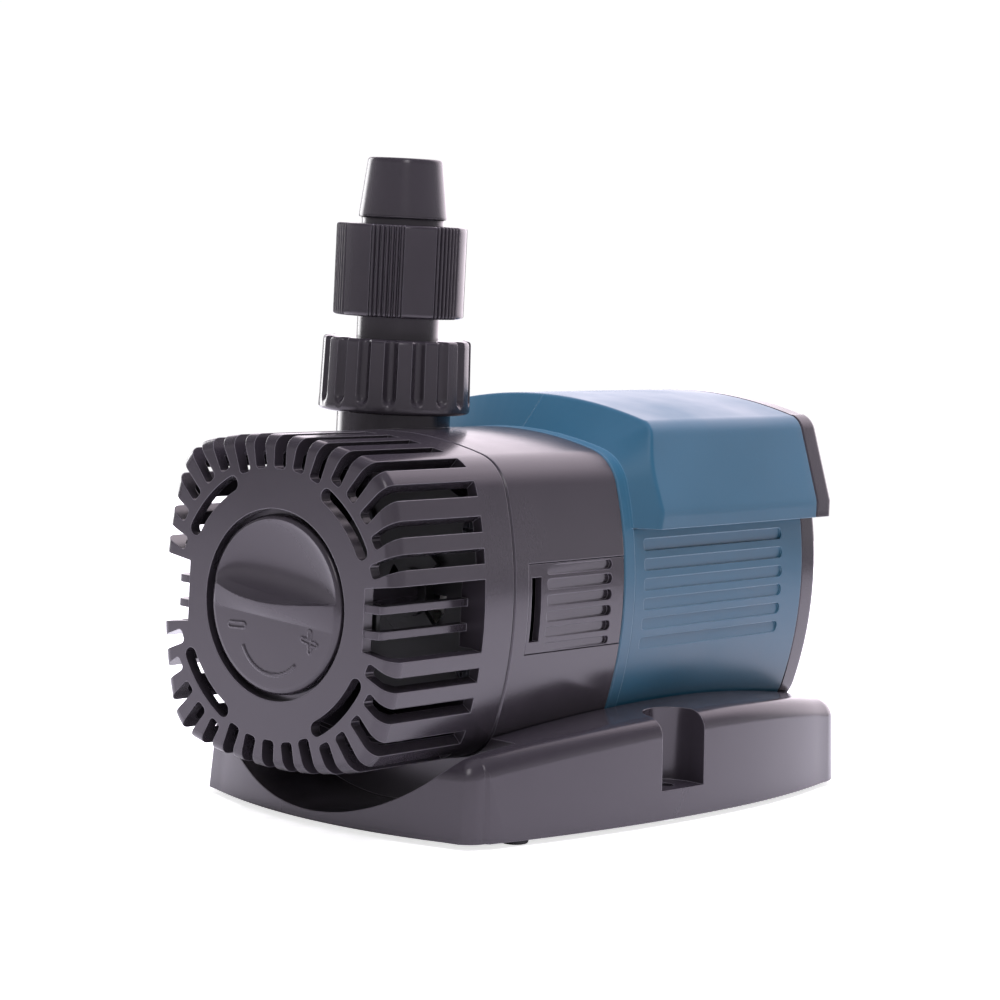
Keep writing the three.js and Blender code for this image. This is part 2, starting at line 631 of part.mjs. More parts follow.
function glandNut() {
  const ribs = 8;
  const shell = solid(
    new THREE.CylinderGeometry(6.8, 8.2, 8.5, 24).translate(0, 207.9 + 4.25, GLAND.z),
  );
  const grips = Array.from({ length: ribs }, (_, i) => diagonal((360 / ribs) * i, 8.6));
  const scallops = grips.map(({ x, z }) => barY(0.9, 207, 214, { x, z: z + GLAND.z, facets: 6 }));
  const room = barY(6.3, 207, 213.2, { z: GLAND.z, facets: 24 });
  return cut(shell, room, barY(GLAND.boreR + 0.4, 205, 220, { z: GLAND.z, facets: 24 }), ...scallops);
}

// ---------------------------------------------------------------- hose fitting

const ON_SPIGOT = { x: SPIGOT.x, y: SPIGOT.y };

// Upright round cutters spaced round the fitting's axis, at the angles given.
function ringOfCutters(angles, distance, r, z0, z1, facets) {
  return angles.map((angle) => {
    const x = SPIGOT.x + distance * Math.cos(angle);
    const y = SPIGOT.y + distance * Math.sin(angle);
    return barZ(r, z0, z1, { x, y, facets });
  });
}

// Fluted swivel nut; the flutes stop short of its plain lower rim.
function unionNut() {
  const { bottom, top, rBottom, rTop, flutes } = UNION_NUT;
  const body = barZ(rBottom, bottom, top, { ...ON_SPIGOT, rTop });
  const skirt = barZ(SPIGOT.collarR + GAP, bottom - 1, SPIGOT.collarTop + 0.4, ON_SPIGOT);
  const room = barZ(SPIGOT.threadR + GAP, bottom, TAIL.flangeTop + GAP, ON_SPIGOT);
  const hole = barZ(TAIL.tubeR + GAP, 60, 80, ON_SPIGOT);
  const angles = Array.from({ length: flutes }, (_, i) => (2 * Math.PI * (i + 0.5)) / flutes);
  const cutters = ringOfCutters(angles, rBottom + 0.7, 1.8, bottom + 3, top + 1, 6);
  return cut(body, skirt, room, hole, ...cutters);
}

function spigotGasket() {
  const seat = SPIGOT.top + GAP;
  return cut(barZ(16.2, seat, seat + 1.5, ON_SPIGOT), barZ(10.4, 60, 80, ON_SPIGOT));
}

function hoseTail() {
  const { tubeR, boreR, flangeTop, coneBottom, coneR, tipR, top } = TAIL;
  const foot = SPIGOT.top + 2.1;
  const profile = [
    [boreR, foot], [16.2, foot], [16.2, flangeTop], [tubeR, flangeTop], [tubeR, coneBottom - 0.6],
    [coneR, coneBottom], [coneR, coneBottom + 0.8], [tipR, top - 0.6], [tipR - 0.6, top], [boreR, top],
    [boreR, foot],
  ].map(([r, z]) => new THREE.Vector2(r, z));
  const upright = new THREE.LatheGeometry(profile, CIRCLE).rotateX(Math.PI / 2);
  return solid(upright.translate(SPIGOT.x, SPIGOT.y, 0));
}

// Thumb nut with groups of fine upright ribs between smooth flats.
function clampNut() {
  const { bottom, top, r, groups, ribsInGroup } = CLAMP_NUT;
  const barrel = barZ(r, bottom, top, ON_SPIGOT);
  const angles = Array.from({ length: groups * ribsInGroup }, (_, i) => {
    const rib = (i % ribsInGroup) - (ribsInGroup - 1) / 2;
    return (2 * Math.PI * Math.floor(i / ribsInGroup)) / groups + rib * 0.18;
  });
  const cutters = ringOfCutters(angles, r + 0.35, 0.75, bottom - 1, top + 1, 4);
  const bore = barZ(TAIL.tubeR + GAP, 70, 110, ON_SPIGOT);
  const hoseRoom = barZ(TAIL.tubeR + 3.4, 93, 110, ON_SPIGOT);
  return cut(barrel, bore, hoseRoom, ...cutters);
}

// ---------------------------------------------------------------- side latches

function latch() {
  const skin = cut(bodyPrism(0.1, LATCH.front, LATCH.rear), bodyPrism(LATCH.thick + 0.1, 50, 105));
  const pad = skin.intersect(
    box(30, 60, 50, 105, BODY.midZ - LATCH.halfHeight, BODY.midZ + LATCH.halfHeight),
  );
  const hookWindow = box(40, 50, 58, 62.2, -9, 9.6);
  const grips = [9.9, 5.5, 1.1, -3.3, -7.7, -12.1].map((z) => box(45.2, 50, 65, 95, z, z + 2.6));
  return cut(pad, hookWindow, ...grips);
}

// ---------------------------------------------------------------- base

// The plan outline of the base, moved inwards, with the crown height over each point.
function basePlan(inset) {
  const steps = { front: 5, corner: 3, side: 8, back: 4 };
  const sideX = (y) => {
    const r = y < BASE.widestY ? BASE.frontBowR : BASE.rearBowR;
    return BASE.widest - (y - BASE.widestY) ** 2 / (2 * r);
  };
  const frontY = (x) => BASE.frontY + x ** 2 / (2 * BASE.frontR);
  const rearY = (x) => BASE.rearY - x ** 2 / (2 * BASE.rearR);
  const right = [];
  const frontEnd = sideX(30) - BASE.frontCornerR;
  for (let i = 0; i <= steps.front; i++) {
    const x = (frontEnd * i) / steps.front;
    right.push([x, frontY(x), x / BASE.frontR, -1]);
  }
  const frontCorner = [frontEnd, frontY(frontEnd) + BASE.frontCornerR];
  for (let i = 1; i < steps.corner; i++) {
    const a = -Math.PI / 2 + 0.42 + ((Math.PI / 2 - 0.42) * i) / steps.corner;
    right.push([
      frontCorner[0] + BASE.frontCornerR * Math.cos(a),
      frontCorner[1] + BASE.frontCornerR * Math.sin(a),
      Math.cos(a),
      Math.sin(a),
    ]);
  }
  const y0 = frontCorner[1];
  const y1 = BASE.rearY - BASE.rearCornerR - 6;
  for (let i = 0; i <= steps.side; i++) {
    const y = y0 + ((y1 - y0) * i) / steps.side;
    right.push([sideX(y), y, 1, 0]);
  }
  const rearEnd = sideX(y1) - BASE.rearCornerR;
  for (let i = 1; i < steps.corner; i++) {
    const a = (Math.PI / 2) * (i / steps.corner);
    right.push([
      rearEnd + BASE.rearCornerR * Math.cos(a),
      y1 + (rearY(rearEnd) - y1) * Math.sin(a),
      Math.cos(a),
      Math.sin(a),
    ]);
  }
  for (let i = steps.back; i >= 0; i--) {
    const x = (rearEnd * i) / steps.back;
    right.push([x, rearY(x), 0, 1]);
  }
  const moved = right.map(([x, y, nx, ny]) => {
    const length = Math.hypot(nx, ny);
    return new THREE.Vector2(Math.max(0, x - (inset * nx) / length), y - (inset * ny) / length);
  });
  moved[0].x = 0;
  moved.at(-1).x = 0;
  const left = moved.slice(1, -1).reverse().map((p) => new THREE.Vector2(-p.x, p.y));
  return [...moved, ...left];
}

function crownAt(y) {
  const r = y < BASE.crownY ? BASE.crownFrontR : BASE.crownRearR;
  return BASE.crownZ - (y - BASE.crownY) ** 2 / (2 * r);
}

// A closed tray with slightly leaning walls, a rounded shoulder and a crowned top.
function baseTray(inset, drop, bottom) {
  const r = BASE.shoulderR;
  const levels = [[0, () => bottom], [BASE.draft, (y) => crownAt(y) - drop - r]];
  for (const degrees of [45, 90]) {
    const a = THREE.MathUtils.degToRad(degrees);
    levels.push([BASE.draft + r * (1 - Math.cos(a)), (y) => crownAt(y) - drop - r * (1 - Math.sin(a))]);
  }
  const rings = levels.map(([d, height]) =>
    basePlan(inset + d).map((p) => new THREE.Vector3(p.x, p.y, height(p.y))),
  );
  return loft(rings, (v) => new THREE.Vector2(v.x, v.y));
}

function base() {
  const tray = cut(baseTray(0, 0, BASE.bottom), baseTray(BASE.wall, BASE.wall, BASE.bottom - 1));
  const saddles = [74, 122, 178].map((y) => box(-63, 63, y - 1.6, y + 1.6, BASE.bottom, -30));
  const posts = bossSpots().map(([x, y]) => barZ(5.5, BASE.bottom, -40, { x, y, facets: 12 }));
  const pockets = [1, -1].map((side) =>
    barZ(NOTCH.r + 2.6, BASE.bottom, -30, { x: side * NOTCH.x, y: NOTCH.y, facets: 24 }),
  );
  const footPads = footSpots().map(([x, y]) => barZ(FOOT.r + 1.5, BASE.bottom, -30, { x, y, facets: 12 }));
  const trough = barY(CRADLE.r + 2.4, 10, CRADLE.rear, { z: CRADLE.z, facets: 60 });
  const bulkhead = box(-63, 63, CRADLE.rear - 1, CRADLE.rear + 2.4, BASE.bottom, -30);
  const inside = baseTray(0.6, 0.6, BASE.bottom);
  const ribs = join(...saddles, ...posts, ...pockets, ...footPads, trough, bulkhead).intersect(inside);
  const bossRings = [1, -1].map((side) =>
    barZ(4.2, BASE.bottom - 1.1, BASE.bottom + 1, { x: side * 57.6, y: NOTCH.y - 6, facets: 20 }),
  );
  const bodyRoom = bodyPrism(-0.4, -5, COVER.rear + 1.2);
  const cradle = prismY(arc(new THREE.Vector2(0, CRADLE.z), CRADLE.r, 0, 2 * Math.PI, 60), 0, CRADLE.rear);
  const [notchY0, notchY1] = [NOTCH.y - NOTCH.r, NOTCH.y + NOTCH.r];
  const notchMouth = box(NOTCH.x, 80, notchY0, notchY1, NOTCH.floor, -20);
  const notches = [1, -1].flatMap((side) => [
    barZ(NOTCH.r, NOTCH.floor, -20, { x: side * NOTCH.x, y: NOTCH.y, facets: 24 }),
    side > 0 ? notchMouth : notchMouth.mirror([1, 0, 0]),
    barZ(2.6, -80, -20, { x: side * 58.5, y: NOTCH.y, facets: 16 }),
  ]);
  const screwHoles = bossSpots().flatMap(([x, y]) => [
    barZ(2.2, -70, -30, { x, y, facets: 8 }),
    barZ(4.2, -70, -56, { x, y, facets: 12 }),
  ]);
  const footSeats = footSpots().map(([x, y]) => barZ(FOOT.r + GAP, -70, -61, { x, y, facets: 20 }));
  return cut(join(tray, ribs, ...bossRings), bodyRoom, cradle, ...notches, ...screwHoles, ...footSeats);
}

function footSpots() {
  return FEET.flatMap(([x, y]) => [[x, y], [-x, y]]);
}

function foot(x, y) {
  const floor = BASE.bottom - FOOT.proud;
  return barZ(FOOT.r - 0.5, floor, -61.3, { x, y, rTop: FOOT.r, facets: 20 });
}

function baseScrew(x, y) {
  const head = barZ(3.7, -59.4, -56.3, { x, y, facets: 12 });
  const shank = barZ(1.7, -57, -37, { x, y, facets: 8 });
  const cross = [box(-2.6, 2.6, -0.5, 0.5, -60, -58.4), box(-0.5, 0.5, -2.6, 2.6, -60, -58.4)];
  return cut(join(head, shank), ...cross.map((slot) => slot.translate([x, y, 0])));
}

// ---------------------------------------------------------------- assembly

const pump = new THREE.Group();
pump.name = "fountain_pump";
const FRONT_Y = -KNOB.proud;
pump.position.set(0, -(FRONT_Y + GLAND.rear) / 2, FOOT.proud - BASE.bottom);

function addPiece(name, whole, material) {
  const raw = whole.getMesh();
  const geometry = new THREE.BufferGeometry();
  geometry.setAttribute("position", new THREE.BufferAttribute(new Float32Array(raw.vertProperties), 3));
  geometry.setIndex(new THREE.BufferAttribute(new Uint32Array(raw.triVerts), 1));
  geometry.computeVertexNormals();
  const mesh = new THREE.Mesh(geometry, material);
  mesh.name = name;
  pump.add(mesh);
}

const SIDES = ["front_right", "front_left", "rear_right", "rear_left"];

addPiece("base", base(), MATERIAL.black());
footSpots().forEach(([x, y], i) => addPiece(`foot_${SIDES[i]}`, foot(x, y), MATERIAL.rubber()));
bossSpots().forEach(([x, y], i) =>
  addPiece(`base_screw_${SIDES[i]}`, baseScrew(x, y), MATERIAL.steel()),
);

addPiece("front_cage", frontCage(), MATERIAL.black());
addPiece("flow_knob", flowKnob(), MATERIAL.black());
addPiece("flow_shutter", flowShutter(), MATERIAL.dark());
addPiece("knob_retainer", knobRetainer(), MATERIAL.dark());

addPiece("pump_housing", pumpHousing(), MATERIAL.black());
addPiece("suction_plate", suctionPlate(), MATERIAL.dark());
CORNERS.forEach((at, i) => addPiece(`chamber_screw_${i + 1}`, chamberScrew(at), MATERIAL.blackSteel()));
const latchRight = latch();
addPiece("latch_right", latchRight, MATERIAL.black());
addPiece("latch_left", latchRight.mirror([1, 0, 0]), MATERIAL.black());

addPiece("impeller", impeller(), MATERIAL.white());
addPiece("rotor_magnet", rotorMagnet(), MATERIAL.ferrite());
addPiece("rotor_shaft", rotorShaft(), MATERIAL.ceramic());
addPiece("front_bush", frontBush(), MATERIAL.rubber());
addPiece("rear_bush", rearBush(), MATERIAL.rubber());
addPiece("rotor_can", rotorCan(), MATERIAL.dark());
addPiece("can_o_ring", ring(21.95, 1.15, CAN.front + 1.2), MATERIAL.rubber());

addPiece("stator_core", statorCore(), MATERIAL.iron());
addPiece("coil_upper", coil(1), MATERIAL.copper());
addPiece("coil_lower", coil(-1), MATERIAL.copper());
addPiece("potting_resin", potting(), MATERIAL.resin());

addPiece("motor_casing", motorCasing(), MATERIAL.blue());
addPiece("hood", hood(), MATERIAL.blue());
addPiece("rear_cover", rearCover(), MATERIAL.black());
coverScrewSpots().forEach(([x, z], i) =>
  addPiece(`cover_screw_${i + 1}`, coverScrew(x, z), MATERIAL.steel()),
);
addPiece("gland_body", glandBody(), MATERIAL.dark());
addPiece("gland_nut", glandNut(), MATERIAL.black());

addPiece("spigot_gasket", spigotGasket(), MATERIAL.rubber());
addPiece("hose_tail", hoseTail(), MATERIAL.black());
addPiece("union_nut", unionNut(), MATERIAL.black());
addPiece("clamp_nut", clampNut(), MATERIAL.black());

export default pump;
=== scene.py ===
"""Looks for the fountain submersible pump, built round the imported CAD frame.

Shapes are written in millimetres about the pump axis, as the CAD has them: X across, Y back from the
front plate, Z up. mesh_object() moves them into the shared frame, in metres. In the names, s is 1 on the
pump's right side and -1 on its left.
"""
import math

import bmesh
import bpy
import numpy as np
from mathutils import Matrix, Vector


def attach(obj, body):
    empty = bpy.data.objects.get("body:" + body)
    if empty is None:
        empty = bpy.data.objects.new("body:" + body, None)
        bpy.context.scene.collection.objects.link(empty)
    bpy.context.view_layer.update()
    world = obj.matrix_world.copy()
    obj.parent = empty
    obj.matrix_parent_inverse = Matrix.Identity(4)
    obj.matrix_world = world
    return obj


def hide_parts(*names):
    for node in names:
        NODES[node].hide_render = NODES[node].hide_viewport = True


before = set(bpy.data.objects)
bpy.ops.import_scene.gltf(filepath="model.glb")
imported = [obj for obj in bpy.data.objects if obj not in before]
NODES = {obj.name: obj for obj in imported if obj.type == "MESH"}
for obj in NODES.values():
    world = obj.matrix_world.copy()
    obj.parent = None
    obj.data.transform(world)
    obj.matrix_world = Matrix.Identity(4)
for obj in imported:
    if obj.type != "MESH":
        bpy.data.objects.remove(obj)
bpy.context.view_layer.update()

MM = 0.001
SHIFT = np.array([0.0, -107.4, 65.1])
BODY = dict(half_width=46.7, half_height=47.7, side_r=115.0, top_r=130.0, corner_r=14.0, mid_z=0.4)
HOOD = dict(half_width=50.9, lip_z=21.4, side_top=26.5, crown=58.4, crown_r=150.0, corner=(36.6, 46.9, 7.0))
AXIS = (0, 0)
SPIGOT = (-24.0, 73.0)
GLAND = (0, -24)
DIAGONALS = (45, 135, 225, 315)
COVER_SCREWS = ((34, 33), (-34, 33), (33, -31), (-33, -31))
CHAMBER_SCREW_R = 29.5

# where each moulding starts and ends along the pump
CAGE_REAR = 50
HOUSING = (50.3, 101.2)
COLLAR = (101.5, 106.3)
CASING = (106.6, 195)
COVER = (195.3, 204.3)


# ---------------------------------------------------------------- camera

def add_camera():
    """Long lens low on the pump's right front quarter, rolled by a few degrees."""
    place = (0.56737, -0.68753, 0.17564)
    azimuth, elevation, roll = (math.radians(a) for a in (39.964, 5.475, 2.902))
    across = Vector((math.cos(azimuth), math.sin(azimuth), 0))
    back = Vector((math.sin(azimuth) * math.cos(elevation), -math.cos(azimuth) * math.cos(elevation),
                   math.sin(elevation)))
    upright = across.cross(-back)
    right = math.cos(roll) * across + math.sin(roll) * upright
    up = -math.sin(roll) * across + math.cos(roll) * upright
    data = bpy.data.cameras.new("camera")
    data.lens = 104.09
    data.sensor_width = 36
    data.clip_end = 20
    camera = bpy.data.objects.new("camera", data)
    turn = Matrix((right, up, back)).transposed().to_4x4()
    camera.matrix_world = Matrix.Translation(place) @ turn
    bpy.context.scene.collection.objects.link(camera)
    bpy.context.scene.camera = camera


add_camera()


# ---------------------------------------------------------------- mesh helpers

def mesh_object(name, verts, faces):
    mesh = bpy.data.meshes.new(name)
    mesh.from_pydata(((np.asarray(verts, float) + SHIFT) * MM).tolist(), [], faces)
    work = bmesh.new()
    work.from_mesh(mesh)
    bmesh.ops.remove_doubles(work, verts=work.verts, dist=1e-7)
    bmesh.ops.recalc_face_normals(work, faces=work.faces)
    work.to_mesh(mesh)
    work.free()
    obj = bpy.data.objects.new(name, mesh)
    bpy.context.scene.collection.objects.link(obj)
    return obj


def loft(name, rings, caps=True):
    """Skins rings of equal counts, each a closed loop of points."""
    n = len(rings[0])
    verts = [p for ring in rings for p in ring]
    faces = []
    for k in range(len(rings) - 1):
        for i in range(n):
            j = (i + 1) % n
            faces.append((k * n + i, k * n + j, (k + 1) * n + j, (k + 1) * n + i))
    if caps:
        faces.append(tuple(range(n))[::-1])
        faces.append(tuple(range((len(rings) - 1) * n, len(rings) * n)))
    return mesh_object(name, verts, faces)


def loft_y(name, levels):
    """Levels are (station along Y, outline in X and Z)."""
    return loft(name, [[(x, y, z) for x, z in outline] for y, outline in levels])


def prism_y(name, outline, y0, y1):
    return loft_y(name, [(y0, outline), (y1, outline)])


def prism_z(name, outline, z0, z1):
    return loft(name, [[(x, y, z) for x, y in outline] for z in (z0, z1)])


def box(name, x0, x1, y0, y1, z0, z1):
    return prism_z(name, [(x0, y0), (x1, y0), (x1, y1), (x0, y1)], z0, z1)


def side_box(name, s, x0, x1, *rest):
    """Box on side s, with its X from the middle outwards."""
    low, high = sorted((x0 * s, x1 * s))
    return box(name, low, high, *rest)


def lathe(name, profile, centre, axis="z", steps=96):
    """Turns a closed profile of (radius, height) round an axis."""
    n = len(profile)
    verts = []
    for k in range(steps):
        a = 2 * math.pi * k / steps
        for r, h in profile:
            u, v = r * math.cos(a), r * math.sin(a)
            if axis == "z":
                verts.append((centre[0] + u, centre[1] + v, h))
            else:
                verts.append((centre[0] + u, h, centre[1] + v))
    faces = []
    for k in range(steps):
        k2 = (k + 1) % steps
        for i in range(n):
            j = (i + 1) % n
            faces.append((k * n + i, k * n + j, k2 * n + j, k2 * n + i))
    return mesh_object(name, verts, faces)


def bar(name, r, h0, h1, centre, axis="z", steps=64):
    return lathe(name, [(0, h0), (r, h0), (r, h1), (0, h1)], centre, axis, steps)


def merged(name, objects):
    """One object holding every mesh of the list."""
    work = bmesh.new()
    for o in objects:
        work.from_mesh(o.data)
        bpy.data.objects.remove(o)
    mesh = bpy.data.meshes.new(name)
    work.to_mesh(mesh)
    work.free()
    obj = bpy.data.objects.new(name, mesh)
    bpy.context.scene.collection.objects.link(obj)
    return obj


def bake(obj):
    """Applies the modifiers."""
    bpy.context.view_layer.update()
    graph = bpy.context.evaluated_depsgraph_get()
    fresh = bpy.data.meshes.new_from_object(obj.evaluated_get(graph))
    obj.modifiers.clear()
    obj.data = fresh


def combine(obj, others, operation):
    for other in others:
        step = obj.modifiers.new("step", "BOOLEAN")
        step.operation = operation
        step.solver = "MANIFOLD"
        step.object = other
    bake(obj)
    for other in others:
        bpy.data.objects.remove(other)
    return obj


def cut(obj, *others):
    return combine(obj, others, "DIFFERENCE")


def join(obj, *others):
    return combine(obj, others, "UNION")


def soften(obj, width=0.35, angle=32, segments=2):
    """Small rounded edges, with the flat faces kept flat."""
    work = bmesh.new()
    work.from_mesh(obj.data)
    bmesh.ops.remove_doubles(work, verts=work.verts, dist=2e-6)
    bmesh.ops.dissolve_degenerate(work, edges=work.edges, dist=2e-6)
    work.to_mesh(obj.data)
    work.free()
    edge = obj.modifiers.new("edge", "BEVEL")
    edge.limit_method = "ANGLE"
    edge.angle_limit = math.radians(angle)
    edge.width = width * MM
    edge.segments = segments
    edge.miter_outer = "MITER_ARC"
    bake(obj)
    return smooth(obj)


def smooth(obj, angle=38):
    """Smooth shading that leaves edges sharper than the angle hard."""
    obj.data.shade_smooth()
    obj.data.set_sharp_from_angle(angle=math.radians(angle))
    even = obj.modifiers.new("even", "WEIGHTED_NORMAL")
    even.keep_sharp = True
    even.mode = "FACE_AREA"
    bake(obj)
    return obj


def arc(cx, cy, r, a0, a1, steps):
    """Points from angle a0 up to a1, which is left out."""
    angles = [a0 + (a1 - a0) * i / steps for i in range(steps)]
    return [(cx + r * math.cos(a), cy + r * math.sin(a)) for a in angles]


# ---------------------------------------------------------------- outlines

def body_outline(inset=0.0, steps=(8, 9, 9)):
    """The barrel's section: bowed sides, top and bottom, joined by corner arcs."""
    b = BODY
    side = np.array([b["half_width"] - b["side_r"], 0])
    top = np.array([0, b["half_height"] - b["top_r"]])
    to_side, to_top = b["side_r"] - b["corner_r"], b["top_r"] - b["corner_r"]
    between = np.linalg.norm(top - side)
    along = (to_side ** 2 - to_top ** 2 + between ** 2) / (2 * between)
    off = math.sqrt(to_side ** 2 - along ** 2)
    unit = (top - side) / between
    corner = side + unit * along + np.array([-unit[1], unit[0]]) * off
    side_end = math.atan2(*(corner - side)[::-1])
    top_start = math.atan2(*(corner - top)[::-1])
    first = (arc(*side, b["side_r"] - inset, 0, side_end, steps[0])
             + arc(*corner, b["corner_r"] - inset, side_end, top_start, steps[1])
             + arc(*top, b["top_r"] - inset, top_start, math.pi / 2, steps[2]))
    upper = first + [(0, b["half_height"] - inset)] + [(-x, z) for x, z in first[::-1]]
    lower = [(x, -z) for x, z in upper[1:-1]][::-1]
    return [(x, z + b["mid_z"]) for x, z in upper + lower]


def hood_outline(inset=0.0):
    """The hood's section above its lip: upright cheeks, leaning shoulders and a bowed top."""
    crown, crown_r = HOOD["crown"], HOOD["crown_r"]
    crown_z = crown - crown_r
    cx, cz, corner_r = HOOD["corner"]
    lean = 0.34
    crown_angle = math.pi / 2 - math.atan2(cx, cz - crown_z)
    cheek = HOOD["half_width"] - inset
    right = [(cheek, HOOD["lip_z"]), (cheek, HOOD["side_top"])]
    right += arc(cx, cz, corner_r - inset, lean, crown_angle, 14)
    right += arc(0, crown_z, crown_r - inset, crown_angle, math.pi / 2, 14)
    return right + [(0, crown - inset)] + [(-x, z) for x, z in right[::-1]]


def ray_hits(outline, origin, angles):
    """Distance from the origin to the farthest crossing of the closed outline, along each angle."""
    parallel, slack = 1e-12, 1e-9
    points = np.array(outline) - np.array(origin)
    found = []
    for angle in angles:
        ahead = np.array([math.cos(angle), math.sin(angle)])
        hits = []
        for i, start in enumerate(points):
            edge = points[(i + 1) % len(points)] - start
            det = ahead[0] * -edge[1] + ahead[1] * edge[0]
            if abs(det) < parallel:
                continue
            distance = (start[0] * -edge[1] + start[1] * edge[0]) / det
            along = (ahead[0] * start[1] - ahead[1] * start[0]) / det
            if distance > 0 and -slack <= along <= 1 + slack:
                hits.append(distance)
        found.append(max(hits))
    return np.array(found)


# ---------------------------------------------------------------- suction cage

SLOT_END = 37.2
CAGE_WALL = 3.4
CAGE_EDGE_R = 4
# centre line from root to rim, and width, of each slot in the upper right quarter
SLOTS = [
    ((36.4, 13.3), (50.0, 18.9), 4.2), ((36.7, 21.3), (50.0, 30.0), 4.2), ((32.4, 27.5), (49.0, 43.4), 4.2),
    ((27.1, 32.7), (40.5, 48.7), 4.2), ((21.3, 36.3), (29.3, 50.5), 4.2), ((13.4, 36.3), (18.9, 51.0), 4.3),
    ((7.0, 38.2), (9.6, 51.0), 4.4),
]


def slot_cutter(line, sx, sz):
    """Slot with rounded corners at its root, mirrored by the signs sx and sz."""
    (x0, z0), (x1, z1), width = line
    start = np.array([x0 * sx, z0 * sz])
    end = np.array([x1 * sx, z1 * sz])
    ahead = (end - start) / np.linalg.norm(end - start)
    side = np.array([-ahead[1], ahead[0]])
    half, r = width / 2, 1.3
    pts = []
    for a in np.linspace(0, math.pi / 2, 6):
        pts.append(start + ahead * (r - r * math.cos(a)) + side * (-(half - r) - r * math.sin(a)))
    root = pts[::-1]
    mirror = [start + ahead * np.dot(p - start, ahead) - side * np.dot(p - start, side) for p in pts]
    outline = [end - side * half] + root + mirror + [end + side * half]
    return prism_y("slot", [tuple(p) for p in outline], -1, SLOT_END)


def arc_slot(degrees):
    """Curved slot with round ends that follows the knob's rim, centred at the given angle."""
    reach, r, half = math.radians(15.4), 37.57, 2.2
    a0, a1 = math.radians(degrees) - reach, math.radians(degrees) + reach
    end0 = (r * math.cos(a0), r * math.sin(a0))
    end1 = (r * math.cos(a1), r * math.sin(a1))
    outline = arc(*AXIS, r + half, a0, a1, 14)
    outline += arc(*end1, half, a1, a1 + math.pi, 9)
    outline += arc(*AXIS, r - half, a1, a0, 14)
    outline += arc(*end0, half, a0 + math.pi, a0 + 2 * math.pi, 9)
    return prism_y("arc_slot", outline, -1, 8)


def build_cage():
    """Front plate and slotted sleeve, with the bars and lands inside and the lip that enters the housing."""
    nose = [(CAGE_EDGE_R * (1 - math.sin(a)), body_outline(CAGE_EDGE_R * (1 - math.cos(a))))
            for a in np.linspace(math.pi / 2, 0, 8)]
    shell = loft_y("cage_shell", nose + [(CAGE_REAR - 0.5, body_outline(0)), (CAGE_REAR, body_outline(0.4))])
    hollow = loft_y("hollow", [(3.6, body_outline(CAGE_WALL + 2)), (6, body_outline(CAGE_WALL)),
                               (CAGE_REAR + 1, body_outline(CAGE_WALL))])
    slots = []
    for sz in (1, -1):
        slots.append(slot_cutter(((0, 38.6), (0, 51), 4.6), 1, sz))
        for line in SLOTS:
            slots += [slot_cutter(line, 1, sz), slot_cutter(line, -1, sz)]
    windows = []
    for s in (1, -1):
        corners = [(34.5 * s, -8.8), (50 * s, -11), (50 * s, 11), (34.5 * s, 8.8)]
        windows.append(prism_y("window", corners, -1, SLOT_END))
    hole = bar("hole", 27.3, -1, 6, AXIS, "y", 144)
    cut(shell, hollow, merged("slots", slots), merged("windows", windows), hole,
        merged("arcs", [arc_slot(a) for a in DIAGONALS]))
    bar_line = [(33.5, 0.4), (37.8, 0.4), (39.4, 1.2), (40, 2.6)]
    bar_line += [(40, 38.7), (37, 38.7), (37, 4.4), (33.5, 4.4)]
    bars = []
    for z in (3.2, -3.9):
        for s in (1, -1):
            bars.append(prism_z("bar", [(x * s, y) for x, y in bar_line], z - 1.1, z + 1.1))
    lands = [side_box("land", s, 37.6, 44.5, SLOT_END, SLOT_END + 4, -9.8, 9.8) for s in (1, -1)]
    lip = loft_y("lip", [(44, body_outline(2.9)), (53.4, body_outline(2.9)), (54, body_outline(3.3))])
    cut(lip, prism_y("lip_hollow", body_outline(4.8), 43, 55))
    join(shell, merged("bars", bars), merged("lands", lands), lip)
    return soften(shell, 0.4, 34)


# the dial's face ends at face_r, rolls over to the skirt at skirt_r, and sits on the rim
KNOB = dict(face_r=23.6, roll=2.0, roll_depth=1.6, skirt_r=25.6, skirt_end=4.4, crest_span=24.4)


